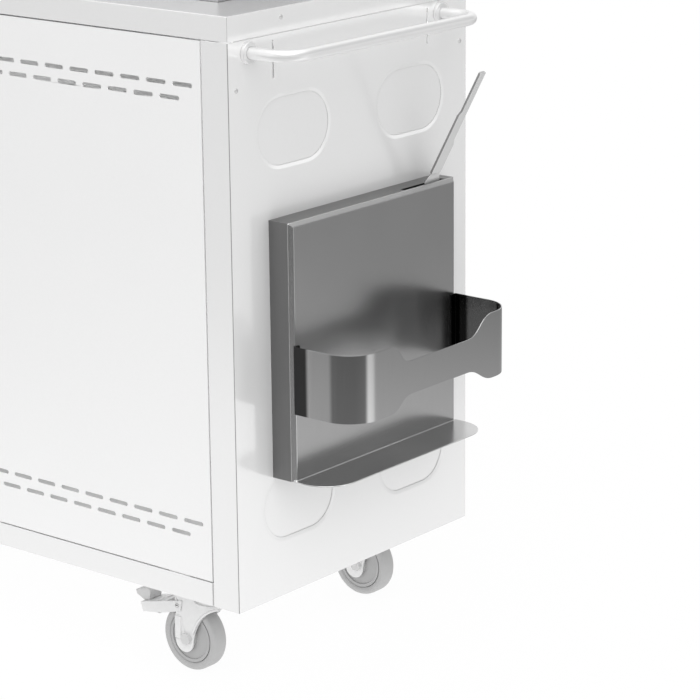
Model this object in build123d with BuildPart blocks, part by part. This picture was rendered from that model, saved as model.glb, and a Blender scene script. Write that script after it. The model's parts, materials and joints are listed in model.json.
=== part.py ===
from build123d import *
import os
from math import cos, radians, sin, sqrt

# Driving sizes of the cabinet, in millimetres
length = 990.0  # along X, end face to end face
depth = 527.0  # along Y, slotted face to door face
body_height = 840.0  # underside to worktop
caster_height = 137.0  # floor to the cabinet's underside
sheet = 1.5  # thickness of every folded sheet
seam = 2.0  # open joint between neighbouring panels
rim_height = 34.5  # worktop edge
rim_seam = 1.0  # line under the worktop edge
rim_round = 1.2  # its rolled upper edge
flange_width = 16.0  # turned in under the ledge
rail_height = 34.5  # bottom edge of the cabinet
post_width = 47.5  # flange of an end panel on the slotted and door faces
return_depth = 16.0  # folded edge of the slotted panel
panel_lug = (40.0, 10.0)  # feet of the slotted panel on the deck
panel_lug_pitch = 380.0
tongue_height = 12.0  # of an end panel's edge behind the worktop edge

# Slotted panel: two staggered rows of slots near the top, two near the bottom
slot_length = 36.0
slot_height = 6.0
slot_pitch = 48.5
slot_count = 18  # in a longer row, a shorter one has one fewer
slot_row_heights = (741.0, 118.5)  # longer rows, above the cabinet's underside
slot_row_step = 19.5  # shorter row below its longer one

# End panels: pressed ovals and narrow hanging slots
oval_length = 152.0
oval_height = 97.0
oval_depth = 2.0
oval_bevel = 0.9
oval_inset = 134.0  # from the slotted and door faces
oval_heights = (133.0, 670.0)
hang_slot_height = 52.0
hang_slot_width = 3.0
hang_slot_inset = 93.0
hang_slot_middle = 771.0

# Push handles
handle_diameter = 16.5
handle_reach = 83.5
handle_bend = 36.0
handle_near = 40.5  # from the slotted face
handle_far = 64.5  # from the door face
handle_middle = 787.0
collar_diameter = 30.0
collar_thickness = 6.0

# Bay for the griddle, open at the door side
bay_width = 806.0
bay_depth = 440.0
bay_floor = 690.0  # above the cabinet's underside
pipe_hole = 26.0
inlet_offset = -330.0  # gas inlet from the cabinet's middle
inlet_inset = 70.0  # gas inlet from the door face

# Doors
door_depth = 20.0
header_height = 38.0
header_width = 38.0
pin_diameter = 6.0
pin_inset = 8.0  # hinge line from the door's edge and from its face
pin_length = 12.0
running_gap = 0.05  # radial clearance of a pin or shaft that turns
pull_diameter = 8.0
pull_length = 128.0
pull_reach = 28.0
pull_bend = 12.0
pull_inset = 34.0

# Utensil and bottle holder on the end panel
holder_depth = 40.0
holder_lip = 6.5  # folded edge of the face plate
holder_bevel = 5.5
rail_depth = 109.0
holder_width = 373.0
holder_bottom = 181.0
holder_top = 551.0
utensil_slot_length = 94.5
utensil_slot_width = 8.0
utensil_slot_middle = 120.75  # from the middle of the end panel
utensil_rest = 390.0
tray_depth = 66.0
tray_radius = 50.5
band_width = 369.0
band_low = 280.0
band_high = 377.5
band_waist_low = 300.5
band_waist_high = 349.0
band_radius = 49.0
band_tab = 12.0
waist_cut = 5.0  # beyond the band's edges
waist_start = (-108.0, -61.0)  # the curve into the narrow stretch, on the band's face
waist_end = (69.0, 129.0)  # the curve out of it

# Spatula that stands in the holder
spatula_offset = 142.5  # from the middle of the end panel
spatula_out = 29.0  # from the end panel
spatula_tilt = 28.6  # degrees
blade_width = 48.0
blade_height = 128.0
blade_taper = 3.0
bend_rise = 3.0  # of the bend above the slot
foot_width = 34.0  # of the blade's top, at the bend
foot_rise = 12.0  # along the handle
shaft_width = 22.0
tang_width = 10.0
tang_length = 150.0
tang_root = 1.0  # sunk into the blade's foot
grip_length = 190.0
grip_thickness = 4.0
grip_left = -7.0  # the handle's edges above its shoulders
grip_right = 6.5
shoulder_left = (116.0, 122.0)  # along the handle
shoulder_right = (62.0, 72.0)
grip_radius = 3.0

# Griddle: driving sizes, with heights above the floor of its bay
griddle_width = 800.0
griddle_depth = 437.0
casing_height = 188.0
casing_flange = 20.0
plate_thickness = 12.0
plate_width = 794.0
plate_depth = 396.0
gutter_width = 30.0
gutter_depth = 6.0
gutter_margin = 20.0  # from the plate's ends
gutter_inset = 18.0  # gutter's middle from the plate's edge on the door side
chute_width = 60.0
chute_depth = 18.0
chute_drop = 90.0
chute_offset = 133.0  # between two burners
guard_height = 45.0
guard_low = 18.0  # at the cook's end of its sides
guard_thickness = 2.0
burner_width = 42.0
burner_height = 24.0
burner_length = 330.0
burner_pitch = 266.0
burner_inset = 40.0
burner_base = 110.0
burner_radius = 6.0
support_insets = (70.0, 290.0)
rib_clearance = 15.0  # of the burner ribs beside the drawer
rib_headroom = 30.0  # and above it
manifold_size = 16.0
manifold_reach = 290.0  # from the middle to its closed end
manifold_inset = 30.0
bracket_offset = 270.0
bracket_thickness = 3.0
inlet_diameter = 17.0
inlet_drop = 60.0
nipple_diameter = 21.0
nipple_length = 22.0
valve_width = 26.0
valve_depth = 24.0
valve_height = 30.0
nozzle_diameter = 9.0
nozzle_length = 14.0
stem_diameter = 8.0
stem_bore = 18.0  # depth of a stem's hole in its valve
stem_end_gap = 1.2
knob_diameter = 44.0
knob_depth = 24.0
knob_skirt = 9.0
knob_gap = 2.0
knob_grip_width = 13.0
knob_grip_length = 38.0
knob_tapers = (6.0, 3.0)  # degrees, skirt and grip
drawer_width = 420.0
drawer_depth = 330.0
drawer_height = 46.0
drawer_front_width = 446.0
drawer_front_height = 68.0
drawer_front_thickness = 2.0
drawer_gap = 0.3  # its front off the fascia
drawer_play = 0.4  # above the runners
fascia_gap = 4.0  # round the drawer in the fascia
runner_width = 20.0
runner_height = 8.6
runner_offset = 190.0

# Casters: driving sizes, with places measured from the swivel line and the floor
swivel_inset_x = 107.0
swivel_inset_y = 67.5
trail = 39.5
wheel_radius = 50.0
tyre_width = 27.0
tyre_round = 5.0
core_radius = 38.0
core_rim_width = 25.0
core_rim_depth = 5.0
core_web = 21.0
hub_radius = 13.0
hub_width = 29.0
axle_diameter = 10.0
axle_head = 16.0  # across flats
axle_head_height = 6.0
fork_gap = 30.0
fork_sheet = 3.0
crown_diameter = 62.0
crown_bottom = 110.0
crown_thickness = 4.0
lower_race_diameter = 54.0
lower_race_height = 6.0
lower_race_taper = 25.0  # degrees
race_diameter = 60.0
race_bore = 24.0
race_play = 0.4
kingpin_diameter = 12.0
kingpin_head = 22.0
kingpin_head_height = 5.0
caster_plate_length = 100.0
caster_plate_width = 86.0
caster_plate_thickness = 4.0
caster_plate_radius = 8.0
caster_rail_width = 128.0
caster_rail_sheet = 3.0
leg_front_top = (26.0, crown_bottom)
leg_rear_top = (-63.0, crown_bottom)
leg_rear_low = (-62.0, 46.0)
leg_tip = (-44.0, 27.5)
leg_front_low = (-29.0, 42.0)
leg_front_middle = (-14.0, 81.0)
rib_width = 12.5
rib_low = 46.5
rib_high = 82.0
rib_height = 2.5
rib_taper = 20.0  # degrees
bead_diameter = 3.6  # along a leg's swept edge
bead_inset = 3.2
bead_low = (-25.0, 60.0)
brake_pivot = (-55.5, 98.5)
brake_pin_diameter = 6.0
brake_pin_length = 4.0
lever_sheet = 2.0
lever_gap = 0.4  # between a lever arm and the fork
lever_outline = ((-47.0, 107.0), (-129.0, 87.0), (-124.0, 73.0), (-88.0, 79.0), (-50.0, 90.0))
lever_web_end = -98.0
shoe_left = -99.0
shoe_right = -91.5
shoe_bottom = 76.5
step_outline = ((-115.0, 105.0), (-123.0, 108.0), (-145.0, 100.5), (-142.5, 94.0))
step_foot = (-128.0, -117.0)  # where the step stands on the lever
step_width = 26.0

# The door pulls reach furthest beyond the door face
back_reach = pull_reach

# Where the faces lie: the origin is under the middle of the whole trolley, on the floor
right_x = (length + handle_reach - holder_depth - rail_depth) / 2
left_x = right_x - length
middle_x = (right_x + left_x) / 2
front_y = -(depth + back_reach) / 2
back_y = front_y + depth
middle_y = (front_y + back_y) / 2
bottom_z = caster_height
top_z = bottom_z + body_height
deck_z = bottom_z + rail_height
bay_floor_z = bottom_z + bay_floor
header_z = bay_floor_z - sheet - header_height
opening_width = length - 2 * (post_width + seam)

front_face = Plane(origin=(middle_x, front_y, bottom_z), x_dir=(1, 0, 0), z_dir=(0, -1, 0))
back_face = Plane(origin=(middle_x, back_y, bottom_z), x_dir=(-1, 0, 0), z_dir=(0, 1, 0))
right_face = Plane(origin=(right_x, middle_y, bottom_z), x_dir=(0, 1, 0), z_dir=(1, 0, 0))
cabinet_middle = Plane.YZ.offset(middle_x)

os.makedirs("parts", exist_ok=True)


def save(piece, name):
    """Label a finished piece and write it to a file of its own."""
    piece.part.label = name
    export_step(piece.part, f"parts/{name}.step")


def mirrored(piece):
    """The same piece for the other end of the cabinet."""
    with BuildPart() as twin:
        add(piece.part.mirror(cabinet_middle))
    return twin


# Bottom deck: an inverted pan whose long edges are the bottom rails between the posts
with BuildPart() as bottom_deck:
    with BuildSketch(Plane.XY.offset(bottom_z)):
        with Locations((middle_x, middle_y)):
            Rectangle(length - 2 * sheet, depth - 2 * sheet)
            Rectangle(opening_width, depth)
    extrude(amount=rail_height)
    with BuildSketch(Plane.XY.offset(bottom_z)):
        with Locations((middle_x, middle_y)):
            Rectangle(length - 4 * sheet, depth - 4 * sheet)
    extrude(amount=rail_height - sheet, mode=Mode.SUBTRACT)
save(bottom_deck, "bottom_deck")

# End panel: one sheet folded round both corners, with pressed ovals and hanging slots
panel_height = body_height - rim_height - rim_seam
with BuildPart() as end_panel_right:
    with BuildSketch(Plane.XY.offset(bottom_z)):
        with Locations((right_x - post_width / 2, middle_y)):
            Rectangle(post_width, depth)
        with Locations((right_x - sheet - post_width / 2, middle_y)):
            Rectangle(post_width, depth - 2 * sheet, mode=Mode.SUBTRACT)
    extrude(amount=panel_height)
    fillet(end_panel_right.edges().filter_by(Axis.Z).group_by(Axis.X)[-1], radius=sheet)
    oval_y = depth / 2 - oval_inset
    oval_places = [(side * oval_y, height) for side in (-1, 1) for height in oval_heights]
    with BuildSketch(right_face.offset(-sheet)):
        with Locations(*oval_places):
            SlotOverall(oval_length, oval_height)
    extrude(amount=-oval_depth)
    with BuildSketch(right_face):
        with Locations(*oval_places):
            SlotOverall(oval_length - 2 * sheet, oval_height - 2 * sheet)
    extrude(amount=-oval_depth, mode=Mode.SUBTRACT)
    chamfer(end_panel_right.faces().sort_by(Axis.X)[-1].inner_wires().edges(), length=oval_bevel)
    with BuildSketch(Plane.XY.offset(top_z - 2 * sheet)):
        with Locations((right_x - 1.5 * sheet, middle_y)):
            Rectangle(sheet, depth - 2 * flange_width)
    extrude(amount=-rim_height - tongue_height)
    with BuildSketch(right_face):
        with Locations((0, hang_slot_middle)):
            with GridLocations(depth - 2 * hang_slot_inset, 0, 2, 1):
                Rectangle(hang_slot_width, hang_slot_height)
    extrude(amount=-2 * sheet, mode=Mode.SUBTRACT)
save(end_panel_right, "end_panel_right")
end_panel_left = mirrored(end_panel_right)
save(end_panel_left, "end_panel_left")

# Slotted front panel: a shallow pan let in between the posts, the rim and the rail
panel_bottom = rail_height + seam
panel_top = body_height - rim_height - seam
panel_middle = (panel_bottom + panel_top) / 2
with BuildPart() as front_panel:
    with BuildSketch(front_face):
        with Locations((0, panel_middle)):
            Rectangle(opening_width, panel_top - panel_bottom)
    extrude(amount=-return_depth)
    with BuildSketch(front_face.offset(-sheet)):
        with Locations((0, panel_middle)):
            Rectangle(opening_width - 2 * sheet, panel_top - panel_bottom - 2 * sheet)
    extrude(amount=-return_depth, mode=Mode.SUBTRACT)
    with BuildSketch(front_face):
        for row_height in slot_row_heights:
            with Locations((0, row_height)):
                with GridLocations(slot_pitch, 0, slot_count, 1):
                    SlotOverall(slot_length, slot_height)
            with Locations((0, row_height - slot_row_step)):
                with GridLocations(slot_pitch, 0, slot_count - 1, 1):
                    SlotOverall(slot_length, slot_height)
    extrude(amount=-2 * sheet, mode=Mode.SUBTRACT)
    with BuildSketch(Plane.XY.offset(deck_z)):
        with Locations((middle_x, front_y + 2 * sheet + panel_lug[1] / 2)):
            with GridLocations(panel_lug_pitch, 0, 3, 1):
                Rectangle(*panel_lug)
    extrude(amount=seam)
save(front_panel, "front_panel")

# Worktop edge: a skirt with an inner flange, open at the back where the griddle stands
with BuildPart() as worktop_rim:
    with BuildSketch(Plane.XY.offset(top_z)):
        with Locations((middle_x, middle_y)):
            Rectangle(length, depth)
    extrude(amount=-rim_height)
    fillet(worktop_rim.edges().group_by(Axis.Z)[-1], radius=rim_round)
    with BuildSketch(Plane.XY.offset(top_z)):
        with Locations((middle_x, middle_y)):
            Rectangle(length - 2 * sheet, depth - 2 * sheet)
    extrude(amount=-sheet, mode=Mode.SUBTRACT)
    with BuildSketch(Plane.XY.offset(top_z - 2 * sheet)):
        with Locations((middle_x, middle_y)):
            Rectangle(length - 2 * sheet, depth - 2 * sheet)
    extrude(amount=-rim_height, mode=Mode.SUBTRACT)
    with BuildSketch(Plane.XY.offset(top_z)):
        with Locations((middle_x, middle_y)):
            Rectangle(length - 2 * flange_width, depth - 2 * flange_width)
        with Locations((middle_x, back_y)):
            Rectangle(bay_width + 2 * sheet, 4 * flange_width)
    extrude(amount=-rim_height, mode=Mode.SUBTRACT)
save(worktop_rim, "worktop_rim")

# Ledge: the dark sheet that lies inside the edge, round three sides of the bay
with BuildPart() as worktop_ledge:
    with BuildSketch(Plane.XY.offset(top_z)):
        with Locations((middle_x, middle_y)):
            Rectangle(length - 2 * sheet, depth - 2 * sheet)
        with Locations((middle_x, back_y - bay_depth / 2)):
            Rectangle(bay_width, bay_depth, mode=Mode.SUBTRACT)
    extrude(amount=-sheet)
save(worktop_ledge, "worktop_ledge")

# Bay: a tub under the ledge, with cover strips beside the griddle on the door face
strip_width = (opening_width - bay_width) / 2
strip_height = body_height - rim_height - rim_seam - bay_floor
with BuildPart() as griddle_bay:
    with BuildSketch(Plane.XY.offset(bay_floor_z - sheet)):
        with Locations((middle_x, back_y - (bay_depth + sheet) / 2)):
            Rectangle(bay_width + 2 * sheet, bay_depth + sheet)
    extrude(amount=body_height - bay_floor)
    with BuildSketch(Plane.XY.offset(bay_floor_z)):
        with Locations((middle_x, back_y - bay_depth / 2)):
            Rectangle(bay_width, bay_depth)
    extrude(amount=body_height, mode=Mode.SUBTRACT)
    with BuildSketch(back_face.offset(-sheet)):
        with Locations((0, bay_floor + strip_height / 2)):
            with GridLocations(bay_width + strip_width, 0, 2, 1):
                Rectangle(strip_width, strip_height)
    extrude(amount=sheet)
    with Locations((middle_x + inlet_offset, back_y - inlet_inset, bay_floor_z)):
        Hole(pipe_hole / 2, depth=2 * sheet)
save(griddle_bay, "griddle_bay")

# Door header: a channel across the cabinet under the bay, flush between the posts
with BuildPart() as door_header:
    with BuildSketch(back_face.offset(-sheet)):
        with Locations((0, bay_floor - sheet - header_height / 2)):
            Rectangle(length - 2 * sheet, header_height)
    extrude(amount=-header_width)
    with BuildSketch(back_face):
        with Locations((0, bay_floor - sheet - header_height / 2)):
            Rectangle(opening_width, header_height)
    extrude(amount=-sheet)
    with BuildSketch(back_face.offset(-2 * sheet)):
        with Locations((0, bay_floor - sheet - header_height / 2)):
            Rectangle(length, header_height - 2 * sheet)
    extrude(amount=-header_width, mode=Mode.SUBTRACT)
save(door_header, "door_header")

# Push handle: a bent tube across the end panel, held by two round collars
handle_z = bottom_z + handle_middle
handle_out = right_x + handle_reach - handle_diameter / 2
handle_ys = (front_y + handle_near, back_y - handle_far)
with BuildPart() as push_handle_right:
    with BuildLine() as handle_path:
        FilletPolyline(
            (right_x, handle_ys[0], handle_z),
            (handle_out, handle_ys[0], handle_z),
            (handle_out, handle_ys[1], handle_z),
            (right_x, handle_ys[1], handle_z),
            radius=handle_bend,
        )
    with BuildSketch(Plane(origin=handle_path.line @ 0, z_dir=handle_path.line % 0)):
        Circle(handle_diameter / 2)
    sweep()
save(push_handle_right, "push_handle_right")
push_handle_left = mirrored(push_handle_right)
save(push_handle_left, "push_handle_left")

with BuildPart() as handle_collars:
    with BuildSketch(right_face):
        with Locations(*[(y - middle_y, handle_middle) for y in handle_ys]):
            Circle(collar_diameter / 2)
            Circle(handle_diameter / 2 + running_gap, mode=Mode.SUBTRACT)
    extrude(amount=collar_thickness)
    mirror(about=cabinet_middle)
save(handle_collars, "handle_collars")

# Doors: folded pans between the posts, each turning on two pins
door_width = (length - 2 * post_width - 3 * seam) / 2
door_bottom_z = deck_z + seam
door_top_z = header_z - seam
door_height = door_top_z - door_bottom_z
door_middle_z = (door_bottom_z + door_top_z) / 2
door_right_edge = right_x - post_width - seam
hinge_x = door_right_edge - pin_inset
hinge_y = back_y - pin_inset
with BuildPart() as door_right:
    with BuildSketch(Plane.XY.offset(door_bottom_z)):
        with Locations((door_right_edge - door_width / 2, back_y - door_depth / 2)):
            Rectangle(door_width, door_depth)
    extrude(amount=door_height)
    with BuildSketch(Plane.XY.offset(door_bottom_z + sheet)):
        with Locations((door_right_edge - door_width / 2, back_y - sheet - door_depth / 2)):
            Rectangle(door_width - 2 * sheet, door_depth)
    extrude(amount=door_height - 2 * sheet, mode=Mode.SUBTRACT)
    with Locations((hinge_x, hinge_y, door_top_z)):
        Hole(pin_diameter / 2 + running_gap)
save(door_right, "door_right")
door_left = mirrored(door_right)
save(door_left, "door_left")

pull_x = door_right_edge - door_width + pull_inset
pull_out = back_y + pull_reach - pull_diameter / 2
pull_zs = [door_middle_z + side * pull_length / 2 for side in (-1, 1)]
with BuildPart() as door_pull_right:
    with BuildLine() as pull_path:
        FilletPolyline(
            (pull_x, back_y, pull_zs[0]),
            (pull_x, pull_out, pull_zs[0]),
            (pull_x, pull_out, pull_zs[1]),
            (pull_x, back_y, pull_zs[1]),
            radius=pull_bend,
        )
    with BuildSketch(Plane(origin=pull_path.line @ 0, z_dir=pull_path.line % 0)):
        Circle(pull_diameter / 2)
    sweep()
save(door_pull_right, "door_pull_right")
door_pull_left = mirrored(door_pull_right)
save(door_pull_left, "door_pull_left")

with BuildPart() as hinge_pins:
    for pin_base_z, direction in ((deck_z, 1), (header_z, -1)):
        with BuildSketch(Plane.XY.offset(pin_base_z)):
            with Locations((hinge_x, hinge_y)):
                Circle(pin_diameter / 2)
        extrude(amount=direction * pin_length)
    mirror(about=cabinet_middle)
save(hinge_pins, "hinge_pins")


casing_front_y = back_y - griddle_depth
casing_back_y = back_y - sheet
casing_floor_z = bay_floor_z + sheet
plate_z = bay_floor_z + casing_height
burner_z = bay_floor_z + burner_base
manifold_y = back_y - manifold_inset
drawer_z = casing_floor_z + runner_height + drawer_play
drawer_middle = drawer_z - bottom_z + drawer_height / 2
burner_xs = [middle_x + step * burner_pitch for step in (-1, 0, 1)]
knob_z = burner_z + valve_height / 2
inlet_x = middle_x + inlet_offset
inlet_y = back_y - inlet_inset
manifold_end_x = middle_x + manifold_reach

# Casing: an open tub with a flange for the plate
with BuildPart() as griddle_casing:
    with BuildSketch(Plane.XY.offset(bay_floor_z)):
        with Locations((middle_x, (casing_front_y + casing_back_y) / 2)):
            Rectangle(griddle_width, griddle_depth - sheet)
    extrude(amount=casing_height)
    with BuildSketch(Plane.XY.offset(casing_floor_z)):
        with Locations((middle_x, casing_front_y + sheet + griddle_depth / 2)):
            Rectangle(griddle_width - 2 * sheet, griddle_depth)
    extrude(amount=casing_height - 2 * sheet, mode=Mode.SUBTRACT)
    with BuildSketch(Plane.XY.offset(casing_floor_z)):
        with Locations((middle_x, casing_front_y + casing_flange + griddle_depth / 2)):
            Rectangle(griddle_width - 2 * casing_flange, griddle_depth)
    extrude(amount=casing_height, mode=Mode.SUBTRACT)
    with Locations((inlet_x, inlet_y, casing_floor_z)):
        Hole(pipe_hole / 2, depth=2 * sheet)
save(griddle_casing, "griddle_casing")

# Two ribs across the casing that carry the burners and clear the drawer
notch_width = drawer_width + 2 * rib_clearance
notch_height = drawer_height + rib_headroom
with BuildPart() as burner_supports:
    for inset in support_insets:
        with BuildSketch(Plane.XZ.offset(-casing_front_y - inset)):
            with Locations((middle_x, (casing_floor_z + burner_z) / 2)):
                Rectangle(griddle_width - 2 * sheet, burner_z - casing_floor_z)
            with Locations((middle_x, casing_floor_z)):
                Rectangle(notch_width, 2 * notch_height, mode=Mode.SUBTRACT)
        extrude(amount=-sheet)
save(burner_supports, "burner_supports")

# Cooking plate: thick steel with a grease gutter and a chute down to the drawer
plate_back_y = casing_front_y + (griddle_width - plate_width) / 2 + plate_depth
gutter_y = plate_back_y - gutter_inset
with BuildPart() as cooking_plate:
    with BuildSketch(Plane.XY.offset(plate_z)):
        with Locations((middle_x, plate_back_y - plate_depth / 2)):
            Rectangle(plate_width, plate_depth)
    extrude(amount=plate_thickness)
    with BuildSketch(Plane.XY.offset(plate_z)):
        with Locations((middle_x + chute_offset, gutter_y)):
            Rectangle(chute_width + 2 * sheet, chute_depth + 2 * sheet)
    extrude(amount=-chute_drop)
    with BuildSketch(Plane.XY.offset(plate_z + plate_thickness)):
        with Locations((middle_x, gutter_y)):
            SlotOverall(plate_width - 2 * gutter_margin, gutter_width)
    extrude(amount=-gutter_depth, mode=Mode.SUBTRACT)
    with BuildSketch(Plane.XY.offset(plate_z + plate_thickness)):
        with Locations((middle_x + chute_offset, gutter_y)):
            Rectangle(chute_width, chute_depth)
    extrude(amount=-plate_thickness - chute_drop, mode=Mode.SUBTRACT)
save(cooking_plate, "cooking_plate")

# Splash guard: stands on three edges of the plate, its sides falling towards the cook
guard_z = plate_z + plate_thickness
plate_front_y = plate_back_y - plate_depth
with BuildPart() as splash_guard:
    with BuildSketch(Plane.YZ.offset(middle_x + plate_width / 2)):
        with BuildLine():
            Polyline(
                (plate_front_y, guard_z),
                (plate_back_y, guard_z),
                (plate_back_y, guard_z + guard_low),
                (plate_front_y + plate_depth / 2, guard_z + guard_height),
                (plate_front_y, guard_z + guard_height),
                close=True,
            )
        make_face()
    extrude(amount=-guard_thickness)
    mirror(about=cabinet_middle)
    with BuildSketch(Plane.XY.offset(guard_z)):
        with Locations((middle_x, plate_front_y + guard_thickness / 2)):
            Rectangle(plate_width, guard_thickness)
    extrude(amount=guard_height)
save(splash_guard, "splash_guard")

# Control fascia on the door side, with holes for the valves and the grease drawer
fascia_height = casing_height + plate_thickness
fascia_ledge = griddle_depth - plate_depth - (griddle_width - plate_width) / 2 - seam
with BuildPart() as control_fascia:
    with BuildSketch(back_face):
        with Locations((0, bay_floor + fascia_height / 2)):
            Rectangle(griddle_width, fascia_height)
    extrude(amount=-sheet)
    with BuildSketch(Plane.XY.offset(bay_floor_z + fascia_height)):
        with Locations((middle_x, back_y - fascia_ledge / 2)):
            Rectangle(griddle_width, fascia_ledge)
    extrude(amount=-sheet)
    with BuildSketch(back_face):
        with Locations((0, knob_z - bottom_z)):
            with GridLocations(burner_pitch, 0, 3, 1):
                Circle(stem_diameter / 2 + seam)
        with Locations((0, drawer_middle)):
            Rectangle(drawer_width + 2 * fascia_gap, drawer_height + 2 * fascia_gap)
    extrude(amount=-2 * sheet, mode=Mode.SUBTRACT)
save(control_fascia, "control_fascia")

# Burners: pressed bars on the casing's ribs
with BuildPart() as burners:
    with BuildSketch(Plane.XZ.offset(-casing_front_y - burner_inset)):
        with Locations((middle_x, burner_z + burner_height / 2)):
            with GridLocations(burner_pitch, 0, 3, 1):
                RectangleRounded(burner_width, burner_height, burner_radius)
    extrude(amount=-burner_length)
save(burners, "burners")

# Gas manifold: a bar on two brackets, with an inlet that drops into the cabinet
with BuildPart() as gas_manifold:
    with BuildSketch(Plane.XY.offset(burner_z)):
        with Locations(((inlet_x + manifold_end_x) / 2, manifold_y)):
            Rectangle(manifold_end_x - inlet_x + manifold_size, manifold_size)
        with Locations((inlet_x, (manifold_y + inlet_y) / 2)):
            Rectangle(manifold_size, manifold_y - inlet_y + manifold_size)
    extrude(amount=-manifold_size)
    with BuildSketch(Plane.XY.offset(casing_floor_z)):
        with Locations((middle_x, manifold_y)):
            with GridLocations(2 * bracket_offset, 0, 2, 1):
                Rectangle(manifold_size, bracket_thickness)
    extrude(amount=burner_z - casing_floor_z - manifold_size)
    with BuildSketch(Plane.XY.offset(burner_z - manifold_size)):
        with Locations((inlet_x, inlet_y)):
            Circle(inlet_diameter / 2)
    extrude(amount=bay_floor_z - inlet_drop - burner_z + manifold_size)
    with BuildSketch(Plane.XY.offset(bay_floor_z - inlet_drop)):
        with Locations((inlet_x, inlet_y)):
            Circle(nipple_diameter / 2)
    extrude(amount=nipple_length)
save(gas_manifold, "gas_manifold")

# Gas valves: blocks on the manifold, each with a nozzle that faces its burner
with BuildPart() as gas_valves:
    with BuildSketch(Plane.XY.offset(burner_z)):
        with Locations((middle_x, manifold_y)):
            with GridLocations(burner_pitch, 0, 3, 1):
                Rectangle(valve_width, valve_depth)
    extrude(amount=valve_height)
    with BuildSketch(Plane.XZ.offset(valve_depth / 2 - manifold_y)):
        with Locations((middle_x, knob_z)):
            with GridLocations(burner_pitch, 0, 3, 1):
                Circle(nozzle_diameter / 2)
    extrude(amount=nozzle_length)
    with BuildSketch(Plane.XZ.offset(-valve_depth / 2 - manifold_y)):
        with Locations((middle_x, knob_z)):
            with GridLocations(burner_pitch, 0, 3, 1):
                Circle(stem_diameter / 2 + running_gap)
    extrude(amount=stem_bore, mode=Mode.SUBTRACT)
save(gas_valves, "gas_valves")

# Knobs, each on the stem that it turns
stem_back_y = manifold_y + valve_depth / 2 - stem_bore + stem_end_gap
stem_front_y = back_y + knob_gap + knob_depth / 2
for burner_name, burner_x in zip(("left", "middle", "right"), burner_xs):
    with BuildPart() as valve_stem:
        with BuildSketch(Plane.XZ.offset(-stem_back_y)):
            with Locations((burner_x, knob_z)):
                Circle(stem_diameter / 2)
        extrude(amount=stem_back_y - stem_front_y)
    save(valve_stem, f"valve_stem_{burner_name}")
    knob_origin = (burner_x, back_y + knob_gap, knob_z)
    knob_plane = Plane(origin=knob_origin, x_dir=(-1, 0, 0), z_dir=(0, 1, 0))
    with BuildPart() as knob:
        with BuildSketch(knob_plane):
            Circle(knob_diameter / 2)
        extrude(amount=knob_skirt, taper=knob_tapers[0])
        with BuildSketch(knob_plane.offset(knob_skirt)):
            SlotOverall(knob_grip_length, knob_grip_width, rotation=90)
        extrude(amount=knob_depth - knob_skirt, taper=knob_tapers[1])
        with BuildSketch(knob_plane):
            Circle(stem_diameter / 2)
        extrude(amount=knob_depth / 2, mode=Mode.SUBTRACT)
    save(knob, f"knob_{burner_name}")

# Grease drawer: a pan behind an overlapping front with a bar grip
drawer_front_y = back_y + drawer_gap
with BuildPart() as grease_drawer:
    with BuildSketch(Plane.XY.offset(drawer_z)):
        with Locations((middle_x, drawer_front_y - drawer_depth / 2)):
            Rectangle(drawer_width, drawer_depth)
    extrude(amount=drawer_height)
    with BuildSketch(Plane.XY.offset(drawer_z + sheet)):
        with Locations((middle_x, drawer_front_y - drawer_depth / 2)):
            Rectangle(drawer_width - 2 * sheet, drawer_depth - 2 * sheet)
    extrude(amount=drawer_height, mode=Mode.SUBTRACT)
    with BuildSketch(back_face.offset(drawer_gap)):
        with Locations((0, drawer_middle)):
            Rectangle(drawer_front_width, drawer_front_height)
    extrude(amount=drawer_front_thickness)
    grip_out = back_y + pull_reach - pull_diameter / 2
    grip_root_y = drawer_front_y + drawer_front_thickness / 2
    grip_z = bottom_z + drawer_middle
    grip_ends = [middle_x + side * pull_length / 2 for side in (-1, 1)]
    with BuildLine() as grip_path:
        FilletPolyline(
            (grip_ends[0], grip_root_y, grip_z),
            (grip_ends[0], grip_out, grip_z),
            (grip_ends[1], grip_out, grip_z),
            (grip_ends[1], grip_root_y, grip_z),
            radius=pull_bend,
        )
    with BuildSketch(Plane(origin=grip_path.line @ 0, z_dir=grip_path.line % 0)):
        Circle(pull_diameter / 2)
    sweep()
save(grease_drawer, "grease_drawer")

with BuildPart() as drawer_runners:
    with BuildSketch(Plane.XY.offset(casing_floor_z)):
        with Locations((middle_x, casing_back_y - drawer_depth / 2)):
            with GridLocations(2 * runner_offset, 0, 2, 1):
                Rectangle(runner_width, drawer_depth)
    extrude(amount=runner_height)
save(drawer_runners, "drawer_runners")


holder_middle = (holder_bottom + holder_top) / 2
holder_height = holder_top - holder_bottom
plate_x = right_x + holder_depth
utensil_slot_place = (right_x + spatula_out, middle_y + utensil_slot_middle)

# Box: a pan against the end panel, with a slot in its top and a rest inside for utensils
with BuildPart() as holder_box:
    with BuildSketch(right_face):
        with Locations((0, holder_middle)):
            Rectangle(holder_width, holder_height)
    extrude(amount=holder_depth - holder_lip)
    with BuildSketch(right_face.offset(sheet)):
        with Locations((0, holder_middle)):
            Rectangle(holder_width - 2 * sheet, holder_height - 2 * sheet)
    extrude(amount=holder_depth, mode=Mode.SUBTRACT)
    with BuildSketch(right_face):
        with Locations((0, utensil_rest)):
            Rectangle(holder_width - sheet, sheet)
    extrude(amount=holder_depth - holder_lip)
    with BuildSketch(Plane.XY.offset(bottom_z + holder_top)):
        with Locations(utensil_slot_place):
            Rectangle(utensil_slot_width, utensil_slot_length)
    extrude(amount=-2 * sheet, mode=Mode.SUBTRACT)
save(holder_box, "holder_box")


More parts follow.
